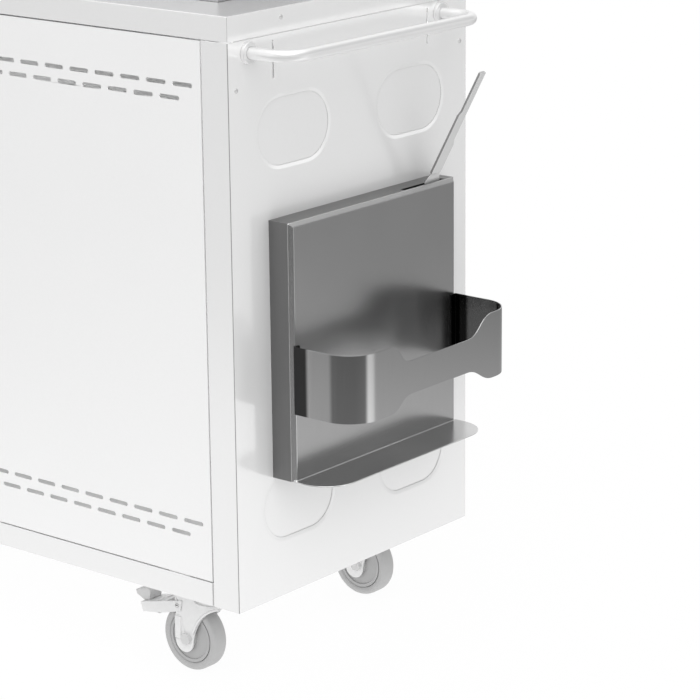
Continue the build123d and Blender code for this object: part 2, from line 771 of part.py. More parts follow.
def bevelled_block(inset, thickness, bevel):
    """Block behind the front of the holder's face plate, bevelled along its top and sides."""
    with BuildPart() as block:
        with BuildSketch(right_face.offset(holder_depth - inset)):
            with Locations((0, holder_middle)):
                Rectangle(holder_width - 2 * inset, holder_height - 2 * inset)
        extrude(amount=-thickness)
        front_edges = block.edges().group_by(Axis.X)[-1].sort_by(Axis.Z)
        chamfer(front_edges[1:], length=bevel)
    return block.part


# Face plate: folded back along three edges over a bevel, and out at the foot into a tray with round corners
inner_bevel = holder_bevel - (2 - sqrt(2)) * sheet
with BuildPart() as holder_plate:
    add(bevelled_block(0, holder_lip, holder_bevel))
    add(bevelled_block(sheet, holder_lip - sheet, inner_bevel), mode=Mode.SUBTRACT)
    with BuildSketch(Plane.XY.offset(bottom_z + holder_bottom)) as tray:
        with Locations((plate_x + (tray_depth - sheet) / 2, middle_y)):
            Rectangle(tray_depth + sheet, holder_width)
        fillet(tray.vertices().group_by(Axis.X)[-1], radius=tray_radius)
    extrude(amount=sheet)
save(holder_plate, "holder_plate")

# Bottle band: a strip bent round two corners, narrowed along the middle of its face
with BuildPart() as bottle_band:
    with BuildSketch(Plane.XY.offset(bottom_z + band_low)) as band:
        with Locations((plate_x + rail_depth / 2, middle_y)):
            Rectangle(rail_depth, band_width)
        fillet(band.vertices().group_by(Axis.X)[-1], radius=band_radius)
        offset(amount=-sheet, mode=Mode.SUBTRACT)
        with Locations((plate_x, middle_y)):
            Rectangle(4 * sheet, band_width - 2 * band_tab, mode=Mode.SUBTRACT)
    extrude(amount=band_high - band_low)
    waist_edges = ((band_waist_high, band_high, waist_cut), (band_waist_low, band_low, -waist_cut))
    for waist, edge, beyond in waist_edges:
        with BuildSketch(right_face.offset(holder_depth + rail_depth)):
            with BuildLine():
                Spline((waist_start[0], edge), (waist_start[1], waist), tangents=((1, 0), (1, 0)))
                Line((waist_start[1], waist), (waist_end[0], waist))
                Spline((waist_end[0], waist), (waist_end[1], edge), tangents=((1, 0), (1, 0)))
                Polyline(
                    (waist_end[1], edge),
                    (waist_end[1], edge + beyond),
                    (waist_start[0], edge + beyond),
                    (waist_start[0], edge),
                )
            make_face()
        extrude(amount=-2 * sheet, mode=Mode.SUBTRACT)
save(bottle_band, "bottle_band")

# Spatula: its blade stands in the box and its handle leans out of the slot
blade_bottom = utensil_rest + sheet / 2
bend_height = holder_top + bend_rise
blade_plane = Plane(
    origin=(right_x + spatula_out, middle_y + spatula_offset, bottom_z + blade_bottom),
    x_dir=(0, 1, 0),
    z_dir=(1, 0, 0),
)
handle_plane = Plane(
    origin=(right_x + spatula_out, middle_y + spatula_offset, bottom_z + bend_height),
    x_dir=(0, 1, 0),
    z_dir=(cos(radians(spatula_tilt)), 0, -sin(radians(spatula_tilt))),
)
with BuildPart() as spatula_blade:
    with BuildSketch(blade_plane):
        with BuildLine():
            Polyline(
                (-blade_width / 2, 0),
                (blade_width / 2, 0),
                (blade_width / 2 - blade_taper, blade_height),
                (foot_width / 2, bend_height - blade_bottom),
                (-foot_width / 2, bend_height - blade_bottom),
                (-blade_width / 2 + blade_taper, blade_height),
                close=True,
            )
        make_face()
    extrude(amount=sheet / 2, both=True)
    with BuildSketch(handle_plane):
        with BuildLine():
            Polyline(
                (-foot_width / 2, -tang_root),
                (foot_width / 2, -tang_root),
                (shaft_width / 2, foot_rise),
                (tang_width / 2, foot_rise),
                (tang_width / 2, tang_length),
                (-tang_width / 2, tang_length),
                (-tang_width / 2, foot_rise),
                (-shaft_width / 2, foot_rise),
                close=True,
            )
        make_face()
    extrude(amount=sheet / 2, both=True)
save(spatula_blade, "spatula_blade")

with BuildPart() as spatula_grip:
    with BuildSketch(handle_plane) as grip:
        with BuildLine():
            Polyline(
                (-shaft_width / 2, foot_rise),
                (shaft_width / 2, foot_rise),
                (shaft_width / 2, shoulder_right[0]),
                (grip_right, shoulder_right[1]),
                (grip_right, grip_length),
                (grip_left, grip_length),
                (grip_left, shoulder_left[1]),
                (-shaft_width / 2, shoulder_left[0]),
                close=True,
            )
        make_face()
        fillet(grip.vertices().group_by(Axis.Z)[-1], radius=grip_radius)
    extrude(amount=grip_thickness / 2, both=True)
    with BuildSketch(handle_plane):
        with Locations((0, tang_length / 2)):
            Rectangle(tang_width, tang_length)
    extrude(amount=sheet / 2, both=True, mode=Mode.SUBTRACT)
save(spatula_grip, "spatula_grip")


crown_top = crown_bottom + crown_thickness
race_bottom = crown_top + lower_race_height + race_play
plate_bottom = caster_height - caster_plate_thickness
swivel_places = {
    "front_right": (right_x - swivel_inset_x, front_y + swivel_inset_y),
    "front_left": (left_x + swivel_inset_x, front_y + swivel_inset_y),
    "rear_right": (right_x - swivel_inset_x, back_y - swivel_inset_y),
    "rear_left": (left_x + swivel_inset_x, back_y - swivel_inset_y),
}
braked = ("front_right", "front_left")
bead_route = (bead_low, leg_front_middle, (leg_front_top[0], crown_bottom - bead_diameter / 2))
swivels = list(swivel_places.values())

# Rails under the deck that carry the casters, one at each end
with BuildPart() as caster_rails:
    with BuildSketch(Plane.XY.offset(bottom_z)):
        with Locations((middle_x, middle_y)):
            with GridLocations(length - 2 * swivel_inset_x, 0, 2, 1):
                Rectangle(caster_rail_width, depth - 4 * sheet)
    extrude(amount=rail_height - sheet)
    with BuildSketch(Plane.XY.offset(bottom_z + caster_rail_sheet)):
        with Locations((middle_x, middle_y)):
            with GridLocations(length - 2 * swivel_inset_x, 0, 2, 1):
                Rectangle(caster_rail_width - 2 * caster_rail_sheet, depth)
    extrude(amount=rail_height, mode=Mode.SUBTRACT)
save(caster_rails, "caster_rails")

# Top plates, each with the kingpin that its fork turns on
with BuildPart() as caster_plates:
    with BuildSketch(Plane.XY.offset(plate_bottom)):
        with Locations(*swivels):
            RectangleRounded(caster_plate_length, caster_plate_width, caster_plate_radius)
    extrude(amount=caster_plate_thickness)
    with BuildSketch(Plane.XY.offset(plate_bottom)):
        with Locations(*swivels):
            Circle(kingpin_diameter / 2)
    extrude(amount=crown_bottom - race_play - kingpin_head_height - plate_bottom)
    with BuildSketch(Plane.XY.offset(crown_bottom - race_play)):
        with Locations(*swivels):
            Circle(kingpin_head / 2)
    extrude(amount=-kingpin_head_height)
save(caster_plates, "caster_plates")

# Fixed upper races of the swivel bearings
with BuildPart() as swivel_races:
    with BuildSketch(Plane.XY.offset(race_bottom)):
        with Locations(*swivels):
            Circle(race_diameter / 2)
            Circle(race_bore / 2, mode=Mode.SUBTRACT)
    extrude(amount=plate_bottom - race_bottom)
save(swivel_races, "swivel_races")


def caster_fork(x, y, has_brake):
    """Pressed fork: a round swivel crown over two swept legs, with pins for a brake lever."""
    side = Plane(origin=(x, y, 0), x_dir=(1, 0, 0), z_dir=(0, -1, 0))
    with BuildPart() as piece:
        with BuildSketch(side.offset(fork_gap / 2)):
            with BuildLine():
                Polyline(leg_front_top, leg_rear_top, leg_rear_low)
                ThreePointArc(leg_rear_low, leg_tip, leg_front_low)
                ThreePointArc(leg_front_low, leg_front_middle, leg_front_top)
            make_face()
        extrude(amount=fork_sheet)
        with BuildSketch(side.offset(fork_gap / 2 + fork_sheet)):
            with Locations((leg_rear_low[0] + rib_width / 2, (rib_low + rib_high) / 2)):
                Rectangle(rib_width, rib_high - rib_low)
        extrude(amount=rib_height, taper=rib_taper)
        with BuildLine(side.offset(fork_gap / 2 + fork_sheet)) as sweep_line:
            ThreePointArc(*[(along - bead_inset, up) for along, up in bead_route])
        with BuildSketch(Plane(origin=sweep_line.line @ 0, z_dir=sweep_line.line % 0)):
            Circle(bead_diameter / 2)
        sweep()
        if has_brake:
            with BuildSketch(side.offset(fork_gap / 2 + fork_sheet)):
                with Locations(brake_pivot):
                    Circle(brake_pin_diameter / 2)
            extrude(amount=brake_pin_length)
        mirror(about=Plane.XZ.offset(-y))
        with BuildSketch(Plane.XY.offset(crown_bottom)):
            with Locations((x + (leg_front_top[0] + leg_rear_top[0]) / 2, y)):
                Rectangle(leg_front_top[0] - leg_rear_top[0], fork_gap + 2 * fork_sheet)
            with Locations((x, y)):
                Circle(crown_diameter / 2)
        extrude(amount=crown_thickness)
        with BuildSketch(Plane.XY.offset(crown_top)):
            with Locations((x, y)):
                Circle(lower_race_diameter / 2)
        extrude(amount=lower_race_height, taper=lower_race_taper)
        with Locations((x, y, crown_top + lower_race_height)):
            Hole(kingpin_diameter / 2 + running_gap, depth=2 * crown_thickness + lower_race_height)
        with BuildSketch(side):
            with Locations((-trail, wheel_radius)):
                Circle(axle_diameter / 2 + running_gap)
        extrude(amount=fork_gap, both=True, mode=Mode.SUBTRACT)
    return piece


def caster_axle(x, y):
    """Axle bolt with a hexagon head and nut outside the fork."""
    side = Plane(origin=(x - trail, y, wheel_radius), x_dir=(1, 0, 0), z_dir=(0, -1, 0))
    with BuildPart() as piece:
        with BuildSketch(side):
            Circle(axle_diameter / 2)
        extrude(amount=fork_gap / 2 + fork_sheet, both=True)
        for reach in (1, -1):
            with BuildSketch(side.offset(reach * (fork_gap / 2 + fork_sheet))):
                RegularPolygon(axle_head / 2, 6, major_radius=False)
            extrude(amount=reach * axle_head_height)
    return piece


def wheel_core(x, y):
    """Wheel centre: hub, thin web and rim, turned about the axle."""
    with BuildPart() as piece:
        with BuildSketch(Plane(origin=(x - trail, y, wheel_radius), x_dir=(0, 1, 0), z_dir=(1, 0, 0))):
            bore = axle_diameter / 2 + running_gap
            with Locations((0, (bore + hub_radius) / 2)):
                Rectangle(hub_width, hub_radius - bore)
            with Locations((0, (bore + core_radius) / 2)):
                Rectangle(core_web, core_radius - bore)
            with Locations((0, core_radius - core_rim_depth / 2)):
                Rectangle(core_rim_width, core_rim_depth)
        revolve(axis=Axis((x - trail, y, wheel_radius), (0, 1, 0)))
    return piece


def wheel_tyre(x, y):
    """Grey rubber tyre with rounded shoulders."""
    with BuildPart() as piece:
        section = Plane(origin=(x - trail, y, wheel_radius), x_dir=(0, 1, 0), z_dir=(1, 0, 0))
        with BuildSketch(section) as tread:
            with Locations((0, (core_radius + wheel_radius) / 2)):
                Rectangle(tyre_width, wheel_radius - core_radius)
            fillet(tread.vertices().group_by(Axis.Y)[-1], radius=tyre_round)
        revolve(axis=Axis((x - trail, y, wheel_radius), (0, 1, 0)))
    return piece


def brake_lever(x, y):
    """Pressed lever: two arms outside the fork, a web behind the wheel and a shoe under it."""
    side = Plane(origin=(x, y, 0), x_dir=(1, 0, 0), z_dir=(0, -1, 0))
    arm_start = fork_gap / 2 + fork_sheet + lever_gap
    fall = (lever_outline[0][1] - lever_outline[1][1]) / (lever_outline[0][0] - lever_outline[1][0])
    web_end = (lever_web_end, lever_outline[1][1] + fall * (lever_web_end - lever_outline[1][0]))
    with BuildPart() as piece:
        with BuildSketch(side.offset(arm_start)):
            with BuildLine():
                Polyline(*lever_outline, close=True)
            make_face()
            with Locations(brake_pivot):
                Circle(brake_pin_diameter / 2 + running_gap, mode=Mode.SUBTRACT)
        extrude(amount=lever_sheet)
        mirror(about=Plane.XZ.offset(-y))
        with BuildSketch(side):
            with BuildLine():
                Polyline(
                    lever_outline[1],
                    web_end,
                    (web_end[0], web_end[1] - lever_sheet),
                    (lever_outline[1][0], lever_outline[1][1] - lever_sheet),
                    close=True,
                )
            make_face()
            with Locations(((shoe_left + shoe_right) / 2, (shoe_bottom + web_end[1] - lever_sheet) / 2)):
                Rectangle(shoe_right - shoe_left, web_end[1] - lever_sheet - shoe_bottom)
        extrude(amount=arm_start, both=True)
    return piece


def brake_step(x, y):
    """Dark foot step that stands on the lever's outer end."""
    side = Plane(origin=(x, y, 0), x_dir=(1, 0, 0), z_dir=(0, -1, 0))
    fall = (lever_outline[0][1] - lever_outline[1][1]) / (lever_outline[0][0] - lever_outline[1][0])
    foot = [(u, lever_outline[1][1] + fall * (u - lever_outline[1][0])) for u in step_foot]
    with BuildPart() as piece:
        with BuildSketch(side):
            with BuildLine():
                Polyline(foot[1], *step_outline, foot[0], close=True)
            make_face()
        extrude(amount=step_width / 2, both=True)
    return piece


for place, (swivel_x, swivel_y) in swivel_places.items():
    save(caster_fork(swivel_x, swivel_y, place in braked), f"fork_{place}")
    save(caster_axle(swivel_x, swivel_y), f"axle_{place}")
    save(wheel_core(swivel_x, swivel_y), f"wheel_core_{place}")
    save(wheel_tyre(swivel_x, swivel_y), f"tyre_{place}")
    if place in braked:
        save(brake_lever(swivel_x, swivel_y), f"brake_lever_{place}")
        save(brake_step(swivel_x, swivel_y), f"brake_step_{place}")
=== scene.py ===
"""Finishes, fittings and studio for a plancha trolley, built round its solid model."""

import json
from itertools import product
from math import cos, pi, radians, sin, tan

import bmesh
import bpy
from mathutils import Matrix, Vector


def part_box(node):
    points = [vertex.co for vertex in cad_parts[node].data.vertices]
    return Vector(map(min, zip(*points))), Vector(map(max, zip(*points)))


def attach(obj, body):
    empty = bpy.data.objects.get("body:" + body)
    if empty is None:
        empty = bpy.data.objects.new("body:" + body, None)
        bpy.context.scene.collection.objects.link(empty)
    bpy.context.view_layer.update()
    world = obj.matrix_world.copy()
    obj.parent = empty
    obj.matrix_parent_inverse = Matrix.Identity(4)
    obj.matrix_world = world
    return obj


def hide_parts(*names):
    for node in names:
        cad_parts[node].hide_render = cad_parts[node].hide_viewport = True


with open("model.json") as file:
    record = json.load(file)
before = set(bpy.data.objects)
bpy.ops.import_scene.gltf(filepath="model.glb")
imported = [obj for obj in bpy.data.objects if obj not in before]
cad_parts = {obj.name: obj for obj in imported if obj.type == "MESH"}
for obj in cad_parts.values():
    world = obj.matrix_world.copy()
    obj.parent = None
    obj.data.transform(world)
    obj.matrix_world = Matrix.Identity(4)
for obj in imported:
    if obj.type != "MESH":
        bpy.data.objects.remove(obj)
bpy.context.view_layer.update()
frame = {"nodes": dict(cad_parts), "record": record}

bl_info = {
    "name": "Plancha trolley",
    "version": (1, 0, 0),
    "blender": (4, 5, 0),
    "location": "View3D > Sidebar > Trolley",
    "description": "Dresses the solid model of a plancha trolley with finishes, fittings and a studio",
    "category": "Object",
}

MM = 0.001
WELD = 0.005 * MM
BODY_OF = {node: body for body, nodes in frame["record"]["behaviour"]["bodies"].items() for node in nodes}
SLOT_OF = {row["node"]: row["material_slot"] for row in frame["record"]["subparts"]}
CASTER_PLACES = ("front_right", "front_left", "rear_right", "rear_left")
BRAKED_PLACES = ("front_right", "front_left")
SIDES = ("right", "left")
KNOBS = ("left", "middle", "right")

# Faces of the cabinet, read from the solid model
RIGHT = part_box("end_panel_right")[1].x
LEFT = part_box("end_panel_left")[0].x
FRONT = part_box("front_panel")[0].y
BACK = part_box("end_panel_right")[1].y
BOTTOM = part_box("bottom_deck")[0].z
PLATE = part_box("bottle_band")[0].x
MIDDLE_X = (RIGHT + LEFT) / 2
MIDDLE_Y = (FRONT + BACK) / 2

# Meshes: points this near to a face lie on it, faces flatter than this to each other are one, edges sharper
# than this are rounded, and edges sharper than this are shaded crisp
ON_FACE = 4 * WELD
FLAT_ANGLE = radians(0.3)
ROUNDED_ANGLE = radians(35)
CRISP_ANGLE = radians(40)
# Steps round a quarter of a tube, along a bend, round a tyre and round its shoulder
TUBE_RESOLUTION = 10
BEND_STEPS = 16
RING_STEPS = 96
SHOULDER_STEPS = 6
# A shoulder takes up at most one part in this many of each side next to it
SHOULDER_PART = 2.2
# Corners of a block's six faces
BLOCK_FACES = ((0, 1, 3, 2), (4, 6, 7, 5), (0, 4, 5, 1), (2, 3, 7, 6), (0, 2, 6, 4), (1, 5, 7, 3))

# Finishes: size of the cloudy patches, depth of the grain, and the range that most of a noise lies in
METAL_CLOUDS = 180 * MM
METAL_GRAIN = 0.02 * MM
MOULDED_CLOUDS = 25 * MM
MOULDED_GRAIN = 0.05 * MM
MOULDED_SPREAD = 0.06
MOULDED_IOR = 1.5
NOISE_RANGE = (0.3, 0.7)

# Share along X of a normal: between a side with painted shade and a face, on the bevel of a pressed oval,
# and, multiplied by its share sideways, on a fold that takes a painted line
SIDE_TO_FACE = (0.3, 0.7)
OVAL_BEVEL = (0.6, 0.8)
FOLD_SLANT = 0.3

# Washer under a plate bolt: its radius and height against the width and height of the head
WASHER_RADIUS = 0.68
WASHER_HEIGHT = 0.3

# Tone of the floor in reflections, by the angle in degrees from the slotted side round to the bottle holder
FLOOR_TONES = (
    (-180, 0.58), (-110, 0.58), (-60, 0.56), (-34, 0.52), (-20, 0.23), (6, 0.21), (60, 0.22), (92, 0.27),
    (103, 1.30), (117, 1.20), (130, 0.67), (138, 0.62), (180, 0.58),
)
# Metres from the front corner over which the floor falls off in reflections, and half the floor's width
FLOOR_FADE = (1.0, 2.7)
FLOOR_REACH = 30.0

# Tone of the room in reflections: level all round, and the stretches along X and Z over which it changes
ROOM_TONE = 0.96
ROOM_SIDE = (-0.3, 0.3)
ROOM_HORIZON = (0.05, 0.12)
ROOM_OVERHEAD = (0.6, 0.9)

# Lights: spread and turn of the key light, and radii of the lamps inside
KEY_ANGLE = radians(60)
KEY_TURN = (radians(38), 0, radians(42))
INSIDE_RADIUS = 120 * MM
SLOT_RADIUS = 15 * MM
# Camera: width of its sensor in millimetres, and how far it sees in metres
SENSOR_WIDTH = 36.0
VIEW_DEPTH = 100.0


def linear(hex_colour):
    """Linear red, green and blue of an sRGB hex value."""
    parts = [int(hex_colour[start:start + 2], 16) / 255 for start in (1, 3, 5)]
    return tuple(c / 12.92 if c <= 0.04045 else ((c + 0.055) / 1.055) ** 2.4 for c in parts)


def colour_property(name, description, hex_colour):
    """A colour that a user may change."""
    return bpy.props.FloatVectorProperty(
        name=name, description=description, subtype="COLOR", size=3, min=0, max=1, default=linear(hex_colour)
    )


def length_property(name, description, millimetres):
    """A length that a user may change, kept in metres."""
    return bpy.props.FloatProperty(
        name=name, description=description, subtype="DISTANCE", unit="LENGTH", min=0, default=millimetres * MM
    )


def number_property(name, description, default, **more):
    """A plain number that a user may change."""
    return bpy.props.FloatProperty(name=name, description=description, default=default, **more)


def angle_property(name, description, degrees):
    """An angle that a user may change, kept in radians."""
    return number_property(name, description, radians(degrees), subtype="ANGLE")


class TrolleySheetSizes(bpy.types.PropertyGroup):
    """Folds and edges of the sheet metal."""

    fold_round: length_property("Fold rounding", "Radius of a folded edge", 0.6)
    oval_spread: length_property("Oval spread", "Width of the soft edge round a pressed oval", 4.5)
    door_round: length_property("Door rounding", "Radius of a door's folded edge", 1.2)
    cast_round: length_property("Pressed rounding", "Radius of the edges of the casters' pressed pieces", 0.7)
    knob_round: length_property("Knob rounding", "Radius of a knob's moulded edges", 1.2)
    handle_bend: length_property("Handle bend", "Middle radius of a push handle's bends", 36.0)
    pull_bend: length_property("Pull bend", "Middle radius of a door pull's bends", 12.0)


class TrolleyHolderSizes(bpy.types.PropertyGroup):
    """Edges of the holder and the spatula."""

    fold_round: length_property("Fold rounding", "Radius of the plate's folds", 1.0)
    edge_round: length_property("Edge rounding", "Radius of the deburred edges", 0.4)
    grip_round: length_property("Grip rounding", "Radius of the spatula handle's edges", 0.9)


class TrolleyCasterSizes(bpy.types.PropertyGroup):
    """Wheels and brakes."""

    tread_round: length_property("Tread rounding", "Radius of the tyre's shoulders", 5.5)
    crown_radius: length_property("Crown radius", "Radius of a fork's round crown", 31.0)
    bolt_across: length_property("Bolt head", "Width of a plate bolt's head across its corners", 11.5)
    bolt_height: length_property("Bolt height", "Height of a plate bolt's head", 5.0)
    bolt_pitch_x: length_property("Bolt pitch along", "Distance of a plate's bolts along the trolley", 76.0)
    bolt_pitch_y: length_property("Bolt pitch across", "Distance of a plate's bolts across the trolley", 62.0)


class TrolleyScrewSizes(bpy.types.PropertyGroup):
    """Button-head screws with a hexagon socket."""

    head: length_property("Head", "Diameter of a head", 7.0)
    height: length_property("Height", "Height of a head", 1.8)
    socket: length_property("Socket", "Width of the socket across its corners", 3.4)
    end_level: length_property("End level", "Height of the end panels' screws above the underside", 739.0)
    end_inset: length_property("End inset", "Distance of the end panels' screws from their edges", 16.0)
    rim_level: length_property("Rim level", "Height of the worktop edge's screws above the underside", 826.0)
    rim_inset: length_property("Rim inset", "Distance of the worktop edge's screws from the corners", 110.0)
    fascia_inset: length_property("Fascia inset", "Distance of the fascia's screws from its edges", 14.0)


class TrolleyDialSizes(bpy.types.PropertyGroup):
    """Printed marks round the knobs."""

    gap: length_property("Gap", "Distance of the marks from a knob", 4.0)
    tick_length: length_property("Mark length", "Length of a mark", 4.5)
    tick_width: length_property("Mark width", "Width of a mark", 0.9)
    film: length_property("Film", "Thickness of the print", 0.1)
    count: bpy.props.IntProperty(name="Marks", description="Marks round each knob", min=2, default=7)
    sweep: angle_property("Sweep", "Angle that the marks cover", 180)


class TrolleyColours(bpy.types.PropertyGroup):
    """Main colours of the finishes."""

    panel: colour_property("Panels", "Bead-blasted stainless of the slotted panel and the doors", "#f2f2f2")
    frame: colour_property("Frame", "Finer stainless of the ends, rails and worktop edge", "#f9f9f9")
    # The ledge's darker colour is a painted dark reflection
    ledge: colour_property("Ledge", "Darker sheet inside the worktop's edge", "#e0e0e1")
    holder: colour_property("Holder", "Ground stainless sheet of the bottle holder", "#d6d6d6")
    band: colour_property("Band", "Ground stainless strip of the bottle band", "#cccccc")
    # The holder box's darker colour is a painted dark reflection of its side
    holder_box: colour_property("Holder box", "Dull inner sheet of the holder", "#888888")
    spatula: colour_property("Spatula", "Ground stainless of the spatula", "#e6e6e6")
    zinc: colour_property("Zinc", "Zinc plating of the casters", "#eeeeee")
    wheel: colour_property("Wheel", "Moulded polypropylene of the wheels", "#acacac")
    tyre: colour_property("Tyre", "Grey non-marking rubber", "#b2b2b2")


class TrolleyStage(bpy.types.PropertyGroup):
    """Studio and camera."""

    lens: number_property("Lens", "Focal length on a 36 mm sensor", 144.56, unit="CAMERA")
    eye: bpy.props.FloatVectorProperty(
        name="Eye", description="Place of the camera", subtype="TRANSLATION", unit="LENGTH",
        default=(2.9142, -3.0318, 1.5585),
    )
    azimuth: angle_property("Azimuth", "Turn of the view round the trolley", 39.216)
    elevation: angle_property("Elevation", "Height of the view", 15.75)
    roll: angle_property("Roll", "Roll of the camera", -0.584)
    floor: colour_property("Floor", "Plain pale floor", "#ffffff")
    shadow: number_property(
        "Shadow", "Share of the floor that takes shadow", 0.06, subtype="FACTOR", min=0, max=1
    )
    ambient: number_property("Ambient", "Even light from all round", 0.80, min=0)
    bounce: number_property("Bounce", "Even light from the floor", 1.45, min=0)
    falloff: number_property(
        "Falloff", "Tone of the far floor against the near floor", 0.46, subtype="FACTOR", min=0, max=1
    )
    dim_side: number_property(
        "Dim side", "Tone of the room beyond the bottle holder in reflections", 0.24, min=0
    )
    overhead: number_property("Overhead", "Tone of the large overhead light in reflections", 1.5, min=0)
    key: number_property("Key", "Strength of the large soft key light", 0.9, min=0)
    inside: number_property("Inside", "Light inside the cabinet", 2.0, unit="POWER", min=0)
    inside_level: length_property("Inside level", "Height of the light inside above the underside", 640.0)
    slot_light: number_property(
        "Slot light", "Light behind each hanging slot of the ends", 0.06, unit="POWER", min=0
    )
    slot_level: length_property("Slot level", "Height of the hanging slots above the underside", 771.0)
    slot_across: length_property("Slot across", "Distance of the hanging slots from the middle", 170.5)
    slot_inset: length_property("Slot inset", "Distance of their lights from the end panels", 50.0)


def add(tree, kind, inputs=None, **settings):
    """Add a node with its settings, and set its inputs or link them. A node stands for its first output."""
    node = tree.nodes.new(kind)
    for name, value in settings.items():
        setattr(node, name, value)
    for name, value in (inputs or {}).items():
        if isinstance(value, bpy.types.Node):
            value = value.outputs[0]
        if isinstance(value, bpy.types.NodeSocket):
            tree.links.new(value, node.inputs[name])
        else:
            node.inputs[name].default_value = value
    return node


def new_material(name):
    """An empty material with its node tree and output node."""
    material = bpy.data.materials.new(name)
    material.use_nodes = True
    material.node_tree.nodes.clear()
    output = add(material.node_tree, "ShaderNodeOutputMaterial")
    return material, material.node_tree, output


def close_surface(tree, output, inputs):
    """Send a principled surface with these inputs to the material's output."""
    surface = add(tree, "ShaderNodeBsdfPrincipled", inputs)
    tree.links.new(surface.outputs["BSDF"], output.inputs["Surface"])


def worked_metal(name, colour, dark_share, grain, rough, rough_spread, lift, metallic):
    """Sheet or bar metal with a worked grain.

    grain gives the size of the grain along X, Y and Z in millimetres. Real grinding lines are a tenth of
    a millimetre wide, so they are drawn coarser to show at the distance of a whole trolley.
    """
    material, tree, output = new_material(name)
    place = add(tree, "ShaderNodeTexCoord").outputs["Object"]
    scale = [1 / (size * MM) for size in grain]
    stretched = add(tree, "ShaderNodeMapping", {"Vector": place, "Scale": scale})
    lines = add(tree, "ShaderNodeTexNoise", {"Vector": stretched, "Scale": 1.0, "Detail": 3.0})
    clouds = add(tree, "ShaderNodeTexNoise", {"Vector": place, "Scale": 1 / METAL_CLOUDS, "Detail": 2.0})
    dark = tuple(part * (1 - dark_share) for part in colour)
    tone = add(tree, "ShaderNodeMix", {0: lines, 6: (*dark, 1.0), 7: (*colour, 1.0)}, data_type="RGBA")
    sheen = add(
        tree, "ShaderNodeMapRange",
        {"Value": clouds, "From Min": NOISE_RANGE[0], "From Max": NOISE_RANGE[1],
         "To Min": rough - rough_spread, "To Max": rough + rough_spread},
    )
    relief = add(tree, "ShaderNodeBump", {"Height": lines, "Strength": lift, "Distance": METAL_GRAIN})
    close_surface(tree, output, {
        "Base Color": tone.outputs[2], "Metallic": metallic, "Roughness": sheen, "Normal": relief,
    })
    return material


def moulded(name, colour, dark_share, grain, rough, lift):
    """Moulded plastic or rubber: fine spark-eroded grain, slightly uneven colour."""
    material, tree, output = new_material(name)
    place = add(tree, "ShaderNodeTexCoord").outputs["Object"]
    fine = add(tree, "ShaderNodeTexNoise", {"Vector": place, "Scale": 1 / (grain * MM), "Detail": 3.0})
    clouds = add(tree, "ShaderNodeTexNoise", {"Vector": place, "Scale": 1 / MOULDED_CLOUDS, "Detail": 2.0})
    dark = tuple(part * (1 - dark_share) for part in colour)
    tone = add(tree, "ShaderNodeMix", {0: clouds, 6: (*dark, 1.0), 7: (*colour, 1.0)}, data_type="RGBA")
    relief = add(tree, "ShaderNodeBump", {"Height": fine, "Strength": lift, "Distance": MOULDED_GRAIN})
    sheen = add(
        tree, "ShaderNodeMapRange",
        {"Value": fine, "To Min": rough - MOULDED_SPREAD, "To Max": rough + MOULDED_SPREAD},
    )
    close_surface(tree, output, {
        "Base Color": tone.outputs[2], "Roughness": sheen, "IOR": MOULDED_IOR, "Normal": relief,
    })
    return material


def base_colour(material):
    """A finish's node tree, the colour socket of its surface, and the tone that reaches it."""
    tree = material.node_tree
    surface = next(node for node in tree.nodes if node.type == "BSDF_PRINCIPLED")
    socket = surface.inputs["Base Color"]
    return tree, socket, socket.links[0].from_socket


def painted_root_reflection(material, start, end, share):
    """Paint a dark reflection into a finish towards start along X, in place of the dark that the sheet's root
    would mirror from behind it.
    """
    tree, socket, tone = base_colour(material)
    place = add(tree, "ShaderNodeTexCoord").outputs["Object"]
    along = add(tree, "ShaderNodeSeparateXYZ", {0: place}).outputs["X"]
    fade = add(
        tree, "ShaderNodeMapRange",
        {"Value": along, "From Min": start, "From Max": end, "To Min": share, "To Max": 1.0},
        interpolation_type="SMOOTHSTEP",
    )
    tinted = add(tree, "ShaderNodeMix", {0: 1.0, 6: tone, 7: fade}, data_type="RGBA", blend_type="MULTIPLY")
    tree.links.new(tinted.outputs[2], socket)


def painted_bar_shade(material, side, back):
    """Paint shade on a bar's sides and back, darker than its ground face along X: painted shade on the thin
    sides, and a painted dark back that shows as a dark streak in the end panel's reflection.
    """
    tree, socket, plain = base_colour(material)
    facing = add(tree, "ShaderNodeNewGeometry").outputs["Normal"]
    outward = add(tree, "ShaderNodeSeparateXYZ", {0: facing}).outputs["X"]
    share = add(
        tree, "ShaderNodeMapRange",
        {"Value": outward, "From Min": SIDE_TO_FACE[1], "From Max": SIDE_TO_FACE[0]},
        interpolation_type="SMOOTHSTEP",
    )
    shade_tone = add(
        tree, "ShaderNodeMapRange",
        {"Value": outward, "From Min": -SIDE_TO_FACE[1], "From Max": -SIDE_TO_FACE[0],
         "To Min": back, "To Max": side},
    )
    tinted = add(tree, "ShaderNodeMix", {0: share, 6: plain, 7: shade_tone}, data_type="RGBA")
    tree.links.new(tinted.outputs[2], socket)


